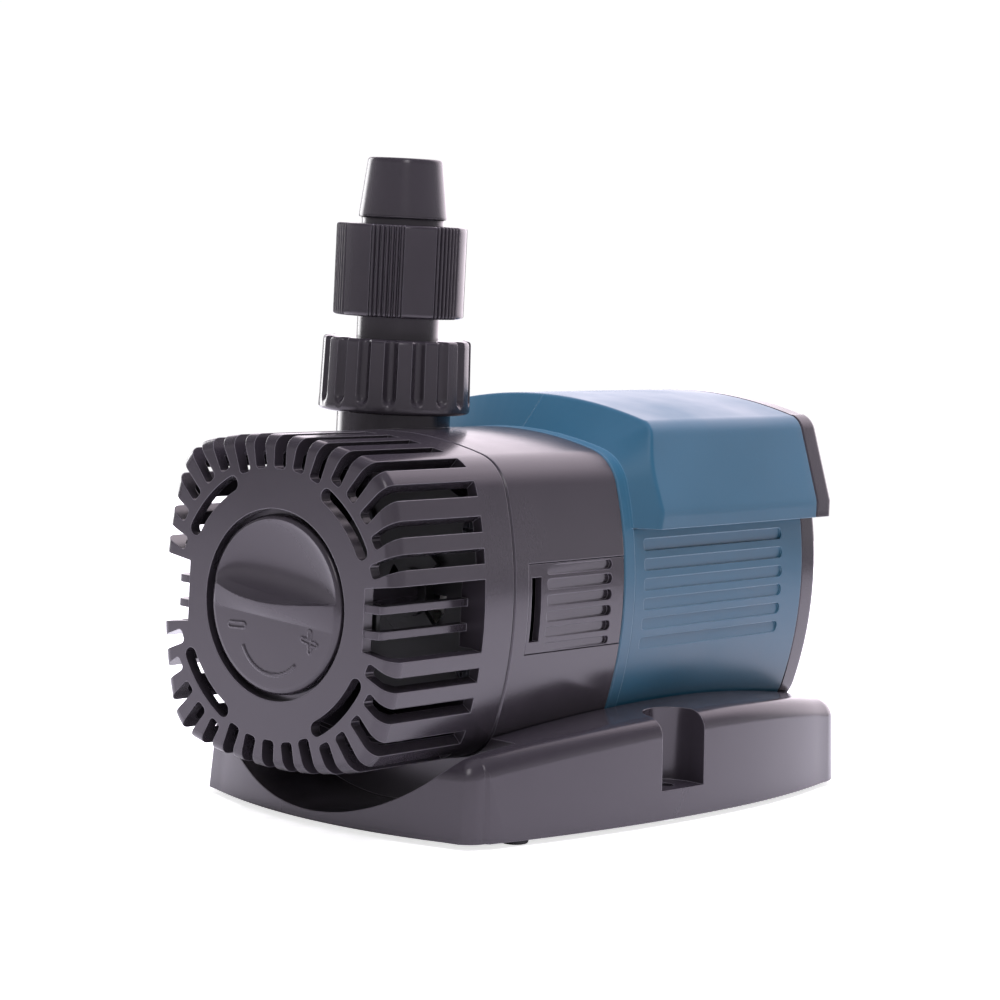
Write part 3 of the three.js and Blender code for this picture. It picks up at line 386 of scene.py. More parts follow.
def build_knob():
    """Dished dial with a finger ridge across it and plain minus, plus and arc marks."""
    face_r, roll = KNOB["face_r"], KNOB["roll"]
    rolled = face_r + roll * np.sin(np.linspace(0.15, math.pi / 2, 9))
    rings = np.concatenate([np.linspace(0, face_r, 128), rolled])
    angles = np.linspace(0, 2 * math.pi, 640, endpoint=False)
    verts = [(0, 0, 0)]
    for r in rings[1:]:
        for a in angles:
            verts.append((r * math.cos(a), 0, r * math.sin(a)))
    verts = np.array(verts)
    verts[:, 1] = knob_height(verts[:, 0], verts[:, 2])
    over = np.clip((np.hypot(verts[:, 0], verts[:, 2]) - face_r) / roll, 0, 1)
    verts[:, 1] += KNOB["roll_depth"] * (1 - np.sqrt(1 - over ** 2))
    n = len(angles)
    faces = [(0, 1 + (j + 1) % n, 1 + j) for j in range(n)]
    for k in range(len(rings) - 2):
        for j in range(n):
            j2 = (j + 1) % n
            faces.append((1 + k * n + j, 1 + k * n + j2, 1 + (k + 1) * n + j2, 1 + (k + 1) * n + j))
    last = 1 + (len(rings) - 2) * n
    base = len(verts)
    skirt_r = KNOB["skirt_r"]
    skirt = [(skirt_r * math.cos(a), KNOB["skirt_end"], skirt_r * math.sin(a)) for a in angles]
    verts = np.vstack([verts, skirt])
    faces += [(last + j, last + (j + 1) % n, base + (j + 1) % n, base + j) for j in range(n)]
    top = mesh_object("knob_top", verts, faces)
    rim = lathe("rim", [(0, 3.9), (28.7, 3.9), (29, 4.2), (29, 5.1), (28.7, 5.4), (0, 5.4)], AXIS, "y", 144)
    stem_line = [(0, 5), (6.2, 5), (5, 6.2), (4.6, 7.6), (4.6, 55.7), (4.2, 56.1), (0, 56.1)]
    stem = lathe("stem", stem_line, AXIS, "y", 64)
    knob = merged("knob_dial", [top, rim, stem])
    return smooth(knob, 30)


def knob_height(x, z):
    """Y of the dial's face: a dish above, the ridge with its curved crest, and a flat part below.

    crest, upper and lower are the Z of the ridge's crest and of its two feet, each a curve across X.
    """
    r = np.hypot(x, z)
    crest = 0.42 + 0.022 * x + 0.00548 * x ** 2 - 0.000091 * x ** 3
    upper = np.maximum(2.77 - 0.0774 * x + 0.00282 * x ** 2 + 0.000039 * x ** 3, crest + 0.2)
    lower = -3.95 - 0.052 * x
    top = -1.6 + 1.3 * (x / KNOB["crest_span"]) ** 2
    above = np.maximum(z - upper, 0)
    dish = 2.5 * np.clip(1 - (r / 24.1) ** 2, 0, 1) ** 0.6 * (1 - np.exp(-above / 3.6))
    up = np.clip((z - crest) / (upper - crest), 0, 1)
    down = np.clip((crest - z) / (crest - lower), 0, 1)
    y = np.where(z >= crest, top * (1 - up ** 0.8) + dish, top * (1 - 0.25 * down - 0.75 * down ** 2.2))
    y = np.where(y < 0, y * np.clip((24.3 - r) / 0.8, 0, 1), y)
    return y - 0.3 * knob_marks(x, z)


def knob_marks(x, z):
    """Raised outlines of a minus and a plus, and an arc between them, 1 on the line and 0 off it."""
    def away(px, pz, qx, qz):
        dx, dz = qx - px, qz - pz
        t = np.clip(((x - px) * dx + (z - pz) * dz) / (dx * dx + dz * dz), 0, 1)
        return np.hypot(x - px - t * dx, z - pz - t * dz)

    def outline(distance, half):
        line, fade = 0.34, 0.2
        return np.clip((line - np.abs(distance - half)) / fade, 0, 1)

    minus = outline(away(-16.8, -7.5, -11.6, -7.2), 0.8)
    plus = outline(np.minimum(away(11.9, -8.2, 17.0, -9.3), away(14.55, -5.9, 14.8, -11.4)), 0.6)
    bow_z, bow_r, bow_start, bow_end = -7, 12.9, -154, -43
    around = np.degrees(np.arctan2(z - bow_z, x))
    bow = np.clip((0.6 - np.abs(np.hypot(x, z - bow_z) - bow_r)) / 0.25, 0, 1)
    bow = bow * np.clip((around - bow_start) / 3, 0, 1) * np.clip((bow_end - around) / 3, 0, 1)
    return np.maximum.reduce([minus, plus, bow])


# ---------------------------------------------------------------- middle housing and latches

LATCH = dict(front=56.6, rear=100.8, z0=-12.6, z1=13.4, gap=0.3)
LATCH_GRIPS = ((10.1, 12.9), (5.7, 8.8), (0.95, 4.1), (-3.7, -0.6), (-8.2, -5.2), (-12.3, -9.9))
DUCT_R = 6.8


def build_housing():
    """Middle shell with the impeller chamber, the latch windows and the outlet spigot."""
    front, rear = HOUSING
    shell = loft_y("housing_shell", [(front, body_outline(0.45)), (front + 0.45, body_outline(0)),
                                     (rear - 0.4, body_outline(0)), (rear, body_outline(0.4))])
    cut(shell, prism_y("hollow", body_outline(2.6), 49, 102))
    cup = bar("cup", 33.5, 64, 83, AXIS, "y", 72)
    bulkhead = prism_y("bulkhead", body_outline(2.1), 80, 83)
    riser = bar("riser", 9, 0, 40, SPIGOT, "z", 48)
    spigot_line = [(0, 34), (17.3, 34), (17.3, 56.7), (17, 57), (16.6, 57.3), (16.6, 65.5)]
    spigot_line += [(16.1, 66), (0, 66)]
    join(shell, cup, bulkhead, riser, lathe("spigot", spigot_line, SPIGOT, "z", 96))
    gap = LATCH["gap"]
    window = (LATCH["front"] - gap, 103, LATCH["z0"] - gap, LATCH["z1"] + gap)
    windows = [side_box("window", s, 39.5, 50, *window) for s in (1, -1)]
    cone_line = [(0, 41.5), (DUCT_R, 41.5), (12.6, 57), (12.6, 67), (0, 67)]
    cut(shell, bar("chamber", 25.5, 63, 80, AXIS, "y", 72), bar("eye", 15.2, 64, 84, AXIS, "y", 48),
        bar("duct", DUCT_R, 4, 42, SPIGOT, "z", 48), lathe("cone", cone_line, SPIGOT, "z", 64),
        merged("windows", windows))
    return soften(shell, 0.3, 34)


def grip_cutter(s, y0, y1, z0, z1, surface, deep0, deep1, sides=9):
    """Rounded slot whose floor slopes: deep0 at its front end, deep1 at its rear end."""
    r = (z1 - z0) / 2
    corner = r * 0.6
    line = arc(y1 - r, z0 + r, r, -math.pi / 2, math.pi / 2, sides) + [(y1 - r, z1)]
    line += arc(y0 + corner, z1 - corner, corner, math.pi / 2, math.pi, 4) + [(y0, z1 - corner)]
    line += arc(y0 + corner, z0 + corner, corner, math.pi, 1.5 * math.pi, 4) + [(y0 + corner, z0)]
    outer = [((surface + 4) * s, y, z) for y, z in line]
    inner = []
    for y, z in line:
        t = (y - y0) / (y1 - y0)
        inner.append(((surface - deep0 - (deep1 - deep0) * t) * s, y, z))
    return loft("grip", [inner, outer])


def build_latch(s):
    """Flush side latch with finger grooves and the slot behind its front edge."""
    pad = prism_y("latch_pad", body_outline(0.1), LATCH["front"], LATCH["rear"])
    cut(pad, prism_y("hollow", body_outline(2.5), 50, 105))
    combine(pad, [side_box("keep", s, 30, 60, 50, 105, LATCH["z0"], LATCH["z1"])], "INTERSECT")
    cutters = [side_box("hook", s, 40, 50, 57.8, 62.2, -9.2, 9.6)]
    for z0, z1 in LATCH_GRIPS:
        cutters.append(grip_cutter(s, 65, 95.2, z0, z1, 46.35, 0.35, 1.4))
    cut(pad, merged("cutters", cutters))
    return soften(pad, 0.22, 34)


# ---------------------------------------------------------------- blue casing and hood

GROOVE_FLOORS = (14.4, 8.4, 2.4, -3.6, -9.6, -15.6)
GROOVE_HEIGHT = 3.6


def build_casing():
    """Motor casing with grooved sides, its roof lower under the hood, and a neck that enters the housing."""
    front, rear = CASING
    shell = loft_y("casing_shell", [(front, body_outline(0.8)), (front + 0.4, body_outline(0.4)),
                                    (rear, body_outline(0.4))])
    cut(shell, box("top", -60, 60, 100, 200, HOOD["lip_z"] - 0.3, 70))
    roof = prism_y("roof", body_outline(3.2), front, rear)
    neck = prism_y("neck", body_outline(3.2), 93, front + 0.1)
    join(shell, roof, neck)
    cut(shell, prism_y("hollow", body_outline(5.8), 92, 196))
    cutters = []
    for s in (1, -1):
        for z in GROOVE_FLOORS:
            wall = 46.25 - (z + GROOVE_HEIGHT / 2) ** 2 / (2 * BODY["side_r"])
            cutters.append(grip_cutter(s, 111.5, 184, z, z + GROOVE_HEIGHT, wall, 0.34, 0.6))
    cut(shell, merged("grooves", cutters))
    return soften(shell, 0.3, 34)


def build_hood():
    """Collar round the barrel, and a hood that flares out of it to its own section as a scoop."""
    skin, lip_z = 2.9, HOOD["lip_z"]
    collar_front, collar_rear = COLLAR
    ridge_steps = np.array([-0.024, -0.016, -0.009, -0.004, 0.004, 0.009, 0.016, 0.024])
    phi = np.sort(np.concatenate([np.linspace(0, math.pi, 141), math.pi / 2 + ridge_steps]))
    origin = (0, lip_z)
    hood_r = ray_hits(hood_outline(0), origin, phi)
    body_r = ray_hits(body_outline(0), origin, phi)
    inner_r = ray_hits(body_outline(skin), origin, phi)
    stations = np.concatenate([[105.2, 106.2], np.linspace(106.4, 120, 46),
                               [122, 126, 134, 150, 170, 190, 194.4, 194.7, 195.0]])

    def ring_points(radii, y):
        return [(r * math.cos(p), y, lip_z + r * math.sin(p)) for r, p in zip(radii, phi)]

    rings = []
    for y in stations:
        flare = body_r + 1.08 * max(0.0, y - collar_rear) / np.clip(facing(body_r, phi), 0.55, 1)
        # the flare and the hood's section meet in a small fillet
        fillet = 0.9
        h = np.clip(0.5 + 0.5 * (flare - hood_r) / fillet, 0, 1)
        r = flare * (1 - h) + hood_r * h - fillet * h * (1 - h)
        if y > collar_rear:
            ridge = 0.16 * np.exp(-((r * np.cos(phi)) / 0.28) ** 2)
            r = r + ridge * np.clip((116.5 - y) / 2, 0, 1)
        if y > 194.5:
            r = r - (0.12 if y < 194.9 else 0.4)
        if y < 106:
            r = r - 0.05
        rings.append(ring_points(r, y) + ring_points(inner_r, y)[::-1])
    shell = loft("hood_shell", rings)
    collar = loft_y("collar", [(collar_front, body_outline(0.35)), (collar_front + 0.4, body_outline(0)),
                               (collar_rear, body_outline(0))])
    cut(collar, prism_y("hollow", body_outline(skin), 101, 107))
    return smooth(merged("hood_cover", [shell, collar]), 40)


def facing(radius, phi):
    """Cosine between the ray and the outline's normal, for offsetting along the normal."""
    slope = np.gradient(radius, phi)
    return radius / np.hypot(radius, slope)


def build_rear_cover():
    """End cap over casing and hood, with a rounded rear edge, a grooved panel and four screw seats."""
    front, rear = COVER
    edge_r = 3

    def end(outline_at):
        levels = [(front, outline_at(0.35)), (front + 0.4, outline_at(0))]
        for a in np.linspace(0, math.pi / 2, 8):
            levels.append((rear - edge_r * (1 - math.sin(a)), outline_at(edge_r * (1 - math.cos(a)))))
        return levels

    lower = loft_y("cover_shell", end(lambda inset: body_outline(0.4 + inset)))
    join(lower, loft_y("cover_top", end(hood_outline)))
    groove = prism_y("panel_out", body_outline(8), 203.5, 206)
    cut(groove, prism_y("panel_in", body_outline(9.4), 203, 207))
    pocket = prism_y("pocket", body_outline(8.5), 190, 200.5)
    cutters = [groove, pocket, bar("gland", 6.3, 195, 210, GLAND, "y", 48)]
    seat_line = [(0, 190), (2.2, 190), (2.2, 201.6), (4.6, 201.6), (4.6, 206), (0, 206)]
    cutters += [lathe("seat", seat_line, spot, "y", 40) for spot in COVER_SCREWS]
    cut(lower, *cutters)
    return soften(lower, 0.35, 34)


# ---------------------------------------------------------------- hose fitting

def round_spigot(r, a, z):
    """Point at a radius, angle and height about the spigot's axis."""
    return SPIGOT[0] + r * math.cos(a), SPIGOT[1] + r * math.sin(a), z


def build_union_nut():
    """Slightly tapered nut with round-bottomed flutes that start above its foot."""
    flutes, phase = 17, math.radians(-51.65)
    flute_half, flute_depth, flute_start = 2.0, 1.9, 4.8
    bottom, top = 51.9, 74.1
    foot_r, taper, pitch_r = 23.1, 0.6, 23
    steps = flutes * 28
    heights = [(bottom, -0.9), (bottom + 0.25, -0.35), (bottom + 0.9, 0)]
    heights += [(z, 0) for z in np.linspace(bottom + 2.4, top - 1.2, 26)]
    heights += [(top - 0.8, -0.05), (top - 0.35, -0.3), (top - 0.08, -0.75), (top, -1.3)]
    rings = []
    for z, inset in heights:
        body = foot_r - taper * (z - bottom) / (top - bottom) + inset
        below = max(0.0, (bottom + flute_start) - z)
        ring = []
        for i in range(steps):
            a = 2 * math.pi * i / steps
            off = ((a * flutes / (2 * math.pi) + 0.5) % 1 - 0.5) * 2 * math.pi / flutes * pitch_r
            reach = math.hypot(off, below)
            depth = flute_depth * max(0.0, 1 - (reach / flute_half) ** 2) ** 0.8
            ring.append(round_spigot(body - depth, a + phase, z))
        rings.append(ring)
    nut = loft("nut_body", rings)
    bore = [(0, 50), (17.6, 50), (17.6, 57.4), (16.9, 57.4), (16.9, 70.5), (12.7, 70.5), (12.7, 80), (0, 80)]
    cut(nut, lathe("bore", bore, SPIGOT, "z", 96))
    return smooth(nut, 48)


def build_clamp_nut():
    """Barrel nut with groups of fine upright ribs between plain faces."""
    bottom, top, radius = 80.6, 108.3, 19.9
    steps, groups, ribs = 1080, 6, 7
    rib_depth, face_depth = 0.95, 0.25
    start = math.radians(-75.5)
    step = math.radians(4.35)
    heights = [(bottom, -1.3, 0.4), (bottom + 0.1, -0.6, 0.9), (bottom + 0.4, -0.15, 1), (bottom + 0.8, 0, 1)]
    heights += [(z, 0, 1) for z in np.linspace(bottom + 1.6, top - 1.4, 12)]
    heights += [(top - 0.7, -0.02, 1), (top - 0.3, -0.2, 1), (top - 0.08, -0.6, 0.9), (top, -1.2, 0.4)]
    rings = []
    for z, inset, ribbed in heights:
        ring = []
        for i in range(steps):
            a = 2 * math.pi * i / steps
            local = (a - start) % (2 * math.pi / groups)
            depth = face_depth
            if local < ribs * step:
                wave = 0.5 - 0.5 * math.cos(2 * math.pi * local / step)
                depth = rib_depth * (1 - wave) ** 1.6
            ring.append(round_spigot(radius + inset - depth * ribbed, a, z))
        rings.append(ring)
    nut = loft("thumb_body", rings)
    bore = [(0, 80), (12.7, 80), (12.7, 93), (15.8, 93), (15.8, 110), (0, 110)]
    cut(nut, lathe("bore", bore, SPIGOT, "z", 96))
    return smooth(nut, 48)


def build_hose_tail():
    """Flanged tube, its cone end rising out of the clamp nut."""
    bore_r, tube_r, cone_r, cone_z = 9.6, 12.4, 13.35, 111.4
    profile = [(bore_r, 68.1), (15.9, 68.1), (16.2, 68.4), (16.2, 69.9), (15.9, 70.2), (12.8, 70.2)]
    profile += [(tube_r, 70.6)]
    profile += [(tube_r, z) for z in (74, 80, 90, 100, 109.6)]
    profile += [(12.55, 110.2), (13.2, 110.35), (cone_r, 110.6), (cone_r, cone_z)]
    profile += [(cone_r - 2.0 * t, cone_z + 16.3 * t) for t in np.linspace(0.1, 0.93, 7)]
    profile += [(11.38, 127.5), (11.15, 128.0), (10.7, 128.3), (10.1, 128.3), (9.75, 128.1), (bore_r, 127.7)]
    profile += [(bore_r, 100), (bore_r, 80)]
    return smooth(lathe("tail_tube", profile, SPIGOT, "z", 128), 40)


# ---------------------------------------------------------------- base

BASE = dict(bottom=-63.5, front_y=17.1, front_r=122.0, rear_y=212.0, rear_r=300.0,
            widest_y=137.0, widest=66.4, front_bow=466.0, rear_bow=270.0, front_corner=9.0, rear_corner=12.0,
            crown_y=132.0, crown_z=-32.4, crown_front=711.0, crown_rear=438.0,
            draft=1.2, shoulder=6.0, wall=3.0)
RIB = dict(top=-30, half_width=63)
CRADLE = dict(r=64, z=3.3, rear=50)
NOTCH = dict(x=60.5, y=111.0, r=9.7, floor=-54.7)
FOOT_SPOTS = [(52.3, 48), (-52.3, 48), (50, 190), (-50, 190)]
BOSS_SPOTS = [(26, 122), (-26, 122), (26, 178), (-26, 178)]


def base_side(y):
    """Half width of the base at a station."""
    b = BASE
    bow = b["front_bow"] if y < b["widest_y"] else b["rear_bow"]
    return b["widest"] - (y - b["widest_y"]) ** 2 / (2 * bow)


def base_crown(y):
    """Height of the base's top at a station."""
    b = BASE
    r = b["crown_front"] if y < b["crown_y"] else b["crown_rear"]
    return b["crown_z"] - (y - b["crown_y"]) ** 2 / (2 * r)


def base_plan(inset):
    """Plan of the base, moved inwards along its normals: bowed front, sides and rear, round corners."""
    b = BASE
    front_corner, rear_corner = b["front_corner"], b["rear_corner"]
    # each point is (x, y, and the outward normal's x and y)
    right = []
    front_end = base_side(30) - front_corner
    for i in range(17):
        x = front_end * i / 16
        right.append((x, b["front_y"] + x ** 2 / (2 * b["front_r"]), x / b["front_r"], -1))
    corner_y = b["front_y"] + front_end ** 2 / (2 * b["front_r"]) + front_corner
    turned = 0.42
    for i in range(1, 9):
        a = -math.pi / 2 + turned + (math.pi / 2 - turned) * i / 9
        right.append((front_end + front_corner * math.cos(a), corner_y + front_corner * math.sin(a),
                      math.cos(a), math.sin(a)))
    y0, y1 = corner_y, b["rear_y"] - rear_corner - 6
    for i in range(29):
        y = y0 + (y1 - y0) * i / 28
        right.append((base_side(y), y, 1, 0))
    rear_end = base_side(y1) - rear_corner
    rear_at = b["rear_y"] - rear_end ** 2 / (2 * b["rear_r"])
    for i in range(1, 9):
        a = math.pi / 2 * i / 9
        right.append((rear_end + rear_corner * math.cos(a), y1 + (rear_at - y1) * math.sin(a),
                      math.cos(a), math.sin(a)))
    for i in range(12, -1, -1):
        x = rear_end * i / 12
        right.append((x, b["rear_y"] - x ** 2 / (2 * b["rear_r"]), 0, 1))
    moved = []
    for x, y, nx, ny in right:
        length = math.hypot(nx, ny)
        moved.append([max(0, x - inset * nx / length), y - inset * ny / length])
    moved[0][0] = moved[-1][0] = 0
    return moved + [[-x, y] for x, y in moved[1:-1][::-1]]


def base_tray(name, inset, drop, bottom):
    """Solid under the crown, inset all round, with the crown lowered by drop."""
    b = BASE
    # inset of each level, and its rise above the shoulder's foot; the first one stands on the bottom
    levels = [(0.0, None), (b["draft"], 0.0)]
    for a in np.linspace(0, math.pi / 2, 9)[1:]:
        levels.append((b["draft"] + b["shoulder"] * (1 - math.cos(a)), b["shoulder"] * math.sin(a)))
    rings = []
    for d, rise in levels:
        ring = []
        for x, y in base_plan(inset + d):
            z = bottom if rise is None else base_crown(y) - drop - b["shoulder"] + rise
            ring.append((x, y, z))
        rings.append(ring)
    # the top closes towards its middle line, so that its crown stays smooth
    last = rings[-1]
    for t in (0.35, 0.7):
        rings.append([(p[0] * (1 - t), p[1], p[2]) for p in last])
    return loft(name, rings)


def cross_wall(name, y0, y1):
    return box(name, -RIB["half_width"], RIB["half_width"], y0, y1, BASE["bottom"], RIB["top"])


def base_inside():
    """Walls, posts, pads and the trough under the cage, all kept within the base's skin."""
    bottom, top = BASE["bottom"], RIB["top"]
    pocket_r = NOTCH["r"] + 2.6
    ribs = cross_wall("ribs", 72.4, 75.6)
    parts = [cross_wall("saddle", y - 1.6, y + 1.6) for y in (122, 178)]
    parts += [bar("post", 5.5, bottom, -40, spot, "z", 32) for spot in BOSS_SPOTS]
    parts += [bar("pocket", pocket_r, bottom, top, (s * NOTCH["x"], NOTCH["y"]), "z", 48) for s in (1, -1)]
    parts += [bar("pad", 6.3, bottom, top, spot, "z", 32) for spot in FOOT_SPOTS]
    parts.append(bar("trough", CRADLE["r"] + 2.4, 10, CRADLE["rear"], (0, CRADLE["z"]), "y", 180))
    parts.append(cross_wall("bulkhead", CRADLE["rear"] - 1, CRADLE["rear"] + 2.4))
    join(ribs, *parts)
    return combine(ribs, [base_tray("keep", 0.6, 0.6, bottom)], "INTERSECT")


def build_base():
    """Crowned tray cut to the barrel, with the cradle in front and a fixing pocket in each side."""
    bottom = BASE["bottom"]
    tray = base_tray("base_shell", 0, 0, bottom)
    cut(tray, base_tray("inside", BASE["wall"], BASE["wall"], bottom - 1))
    rings = [bar("boss_ring", 4.2, bottom - 1.1, bottom + 1, (s * 57.6, 105), "z", 32) for s in (1, -1)]
    join(tray, base_inside(), *rings)
    cutters = [prism_y("body_room", body_outline(-0.4), -5, 205.5),
               bar("cradle", CRADLE["r"], 0, CRADLE["rear"], (0, CRADLE["z"]), "y", 180)]
    x, y, r, floor = NOTCH["x"], NOTCH["y"], NOTCH["r"], NOTCH["floor"]
    for s in (1, -1):
        cutters.append(bar("notch", r, floor, -20, (s * x, y), "z", 64))
        cutters.append(side_box("mouth", s, x, 80, y - r, y + r, floor, -20))
        cutters.append(bar("screw", 2.6, -80, -20, (s * 58.5, y), "z", 32))
    driver_line = [(0, -70), (4.2, -70), (4.2, -56), (2.2, -56), (2.2, -30), (0, -30)]
    cutters += [lathe("driver", driver_line, spot, "z", 32) for spot in BOSS_SPOTS]
    cutters += [bar("foot_seat", 5.1, -70, -61, spot, "z", 32) for spot in FOOT_SPOTS]
    cut(tray, *cutters)
    return soften(tray, 0.55, 34, 3)


def build_foot(x, y):
    """Round pad, a little wider at its root."""
    profile = [(0, -65.1), (3.7, -65.1), (4.15, -64.95), (4.35, -64.6), (4.75, -61.6), (4.7, -61.3)]
    profile += [(0, -61.3)]
    return smooth(lathe("foot_pad", profile, (x, y), "z", 40), 50)


# ---------------------------------------------------------------- cable gland and screws

def build_gland_body():
    """Hexagonal flange and the tube that a cable would pass through."""
    flange = prism_y("gland_flange", arc(*GLAND, 9, 0, 2 * math.pi, 6), 204.6, 207.6)
    join(flange, bar("gland_stem", 6, 197, 212.6, GLAND, "y", 48))
    cut(flange, bar("gland_bore", 3.7, 190, 220, GLAND, "y", 48))
    return soften(flange, 0.25, 34)


def build_gland_nut():
    """Tapered cap with eight finger grooves."""
    profile = [(6.3, 207.9), (7.9, 207.9), (8.2, 208.2), (7.0, 215.6), (6.5, 216.3), (4.3, 216.4)]
    profile += [(4.1, 216.2), (4.1, 213.4), (6.3, 213.2)]
    nut = lathe("gland_cap", profile, GLAND, "y", 96)
    grips = []
    for k in range(8):
        a = math.pi / 4 * k
        spot = (GLAND[0] + 8.6 * math.cos(a), GLAND[1] + 8.6 * math.sin(a))
        grips.append(bar("grip", 0.9, 207, 214, spot, "y", 24))
    cut(nut, *grips)
    return soften(nut, 0.12, 34)


def build_screw(name, centre, axis, head, seat, end, r, shank, reach):
    """Pan head from seat to head along the axis, its shank down to end, and a crossed recess."""
    out = 1 if head > seat else -1
    profile = [(0, end), (shank, end), (shank, seat), (r, seat), (r, head - 1.1 * out)]
    profile += [(r - 0.35, head - 0.45 * out), (r - 1.0, head - 0.08 * out), (0, head)]
    screw = lathe(name, profile, centre, axis, 48)
    h0, h1 = sorted((head - 1.0 * out, head + 1.0 * out))
    cx, cy = centre
    narrow = 0.42
    prism = prism_y if axis == "y" else prism_z
    for u, v in ((reach, narrow), (narrow, reach)):
        shape = [(cx - u, cy - v), (cx + u, cy - v), (cx + u, cy + v), (cx - u, cy + v)]
        cut(screw, prism("recess", shape, h0, h1))
    return soften(screw, 0.08, 34)


# ---------------------------------------------------------------- pieces in place of CAD nodes

def put(obj, name, body, nodes):
    """Names a piece and puts it in its CAD nodes' place, riding on their body."""
    obj.name = name
    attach(obj, body)
    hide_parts(*nodes)
    return obj


BLACK, BLUE, RUBBER, BRIGHT, DARK = [], [], [], [], []
# builder, its own arguments, name, body, CAD node
BLACK_MOULDINGS = [
    (build_base, (), "base_moulding", "pump_body", "base"),
    (build_cage, (), "cage_moulding", "cage", "front_cage"),
    (build_knob, (), "knob_moulding", "knob", "flow_knob"),
    (build_housing, (), "housing_moulding", "pump_body", "pump_housing"),
    (build_latch, (1,), "latch_right_moulding", "right_latch", "latch_right"),
    (build_latch, (-1,), "latch_left_moulding", "left_latch", "latch_left"),
    (build_rear_cover, (), "rear_cover_moulding", "pump_body", "rear_cover"),
    (build_union_nut, (), "union_nut_moulding", "swivel_nut", "union_nut"),
    (build_clamp_nut, (), "clamp_nut_moulding", "thumb_nut", "clamp_nut"),
    (build_hose_tail, (), "hose_tail_moulding", "tail", "hose_tail"),
]
for build, given, name, body, node in BLACK_MOULDINGS:
    BLACK.append(put(build(*given), name, body, [node]))
BLUE.append(put(build_casing(), "casing_moulding", "pump_body", ["motor_casing"]))
BLUE.append(put(build_hood(), "hood_moulding", "pump_body", ["hood"]))
FOOT_NODES = ["foot_front_right", "foot_front_left", "foot_rear_right", "foot_rear_left"]
for (x, y), node in zip(FOOT_SPOTS, FOOT_NODES):
    RUBBER.append(put(build_foot(x, y), node + "_pad", "pump_body", [node]))
BLACK.append(put(build_gland_nut(), "gland_cap_moulding", "pump_body", ["gland_nut"]))
INNER = [put(build_gland_body(), "gland_body_moulding", "pump_body", ["gland_body"])]
for k, spot in enumerate(COVER_SCREWS):
    made = build_screw("cover_screw", spot, "y", 204.2, 202.0, 196.5, 3.8, 1.8, 2.6)
    node = f"cover_screw_{k + 1}"
    BRIGHT.append(put(made, node + "_fine", "pump_body", [node]))
for spot, side in zip(BOSS_SPOTS, ("front_right", "front_left", "rear_right", "rear_left")):
    made = build_screw("base_screw", spot, "z", -59.4, -56.3, -37.0, 3.7, 1.7, 2.6)
    node = f"base_screw_{side}"
    BRIGHT.append(put(made, node + "_fine", "pump_body", [node]))
for k, angle in enumerate(DIAGONALS):
    spot = (CHAMBER_SCREW_R * math.cos(math.radians(angle)), CHAMBER_SCREW_R * math.sin(math.radians(angle)))
    made = build_screw("chamber_screw", spot, "y", 58.1, 60.1, 73.0, 3.0, 1.2, 2.0)
    node = f"chamber_screw_{k + 1}"
    DARK.append(put(made, node + "_fine", "pump_body", [node]))


# ---------------------------------------------------------------- materials

def add(nodes, kind, **values):
    """New shader node, with its sockets or its settings given by name."""
    node = nodes.new(kind)
    for key, value in values.items():
        if key in node.inputs:
            node.inputs[key].default_value = value
        else:
            setattr(node, key, value)
    return node


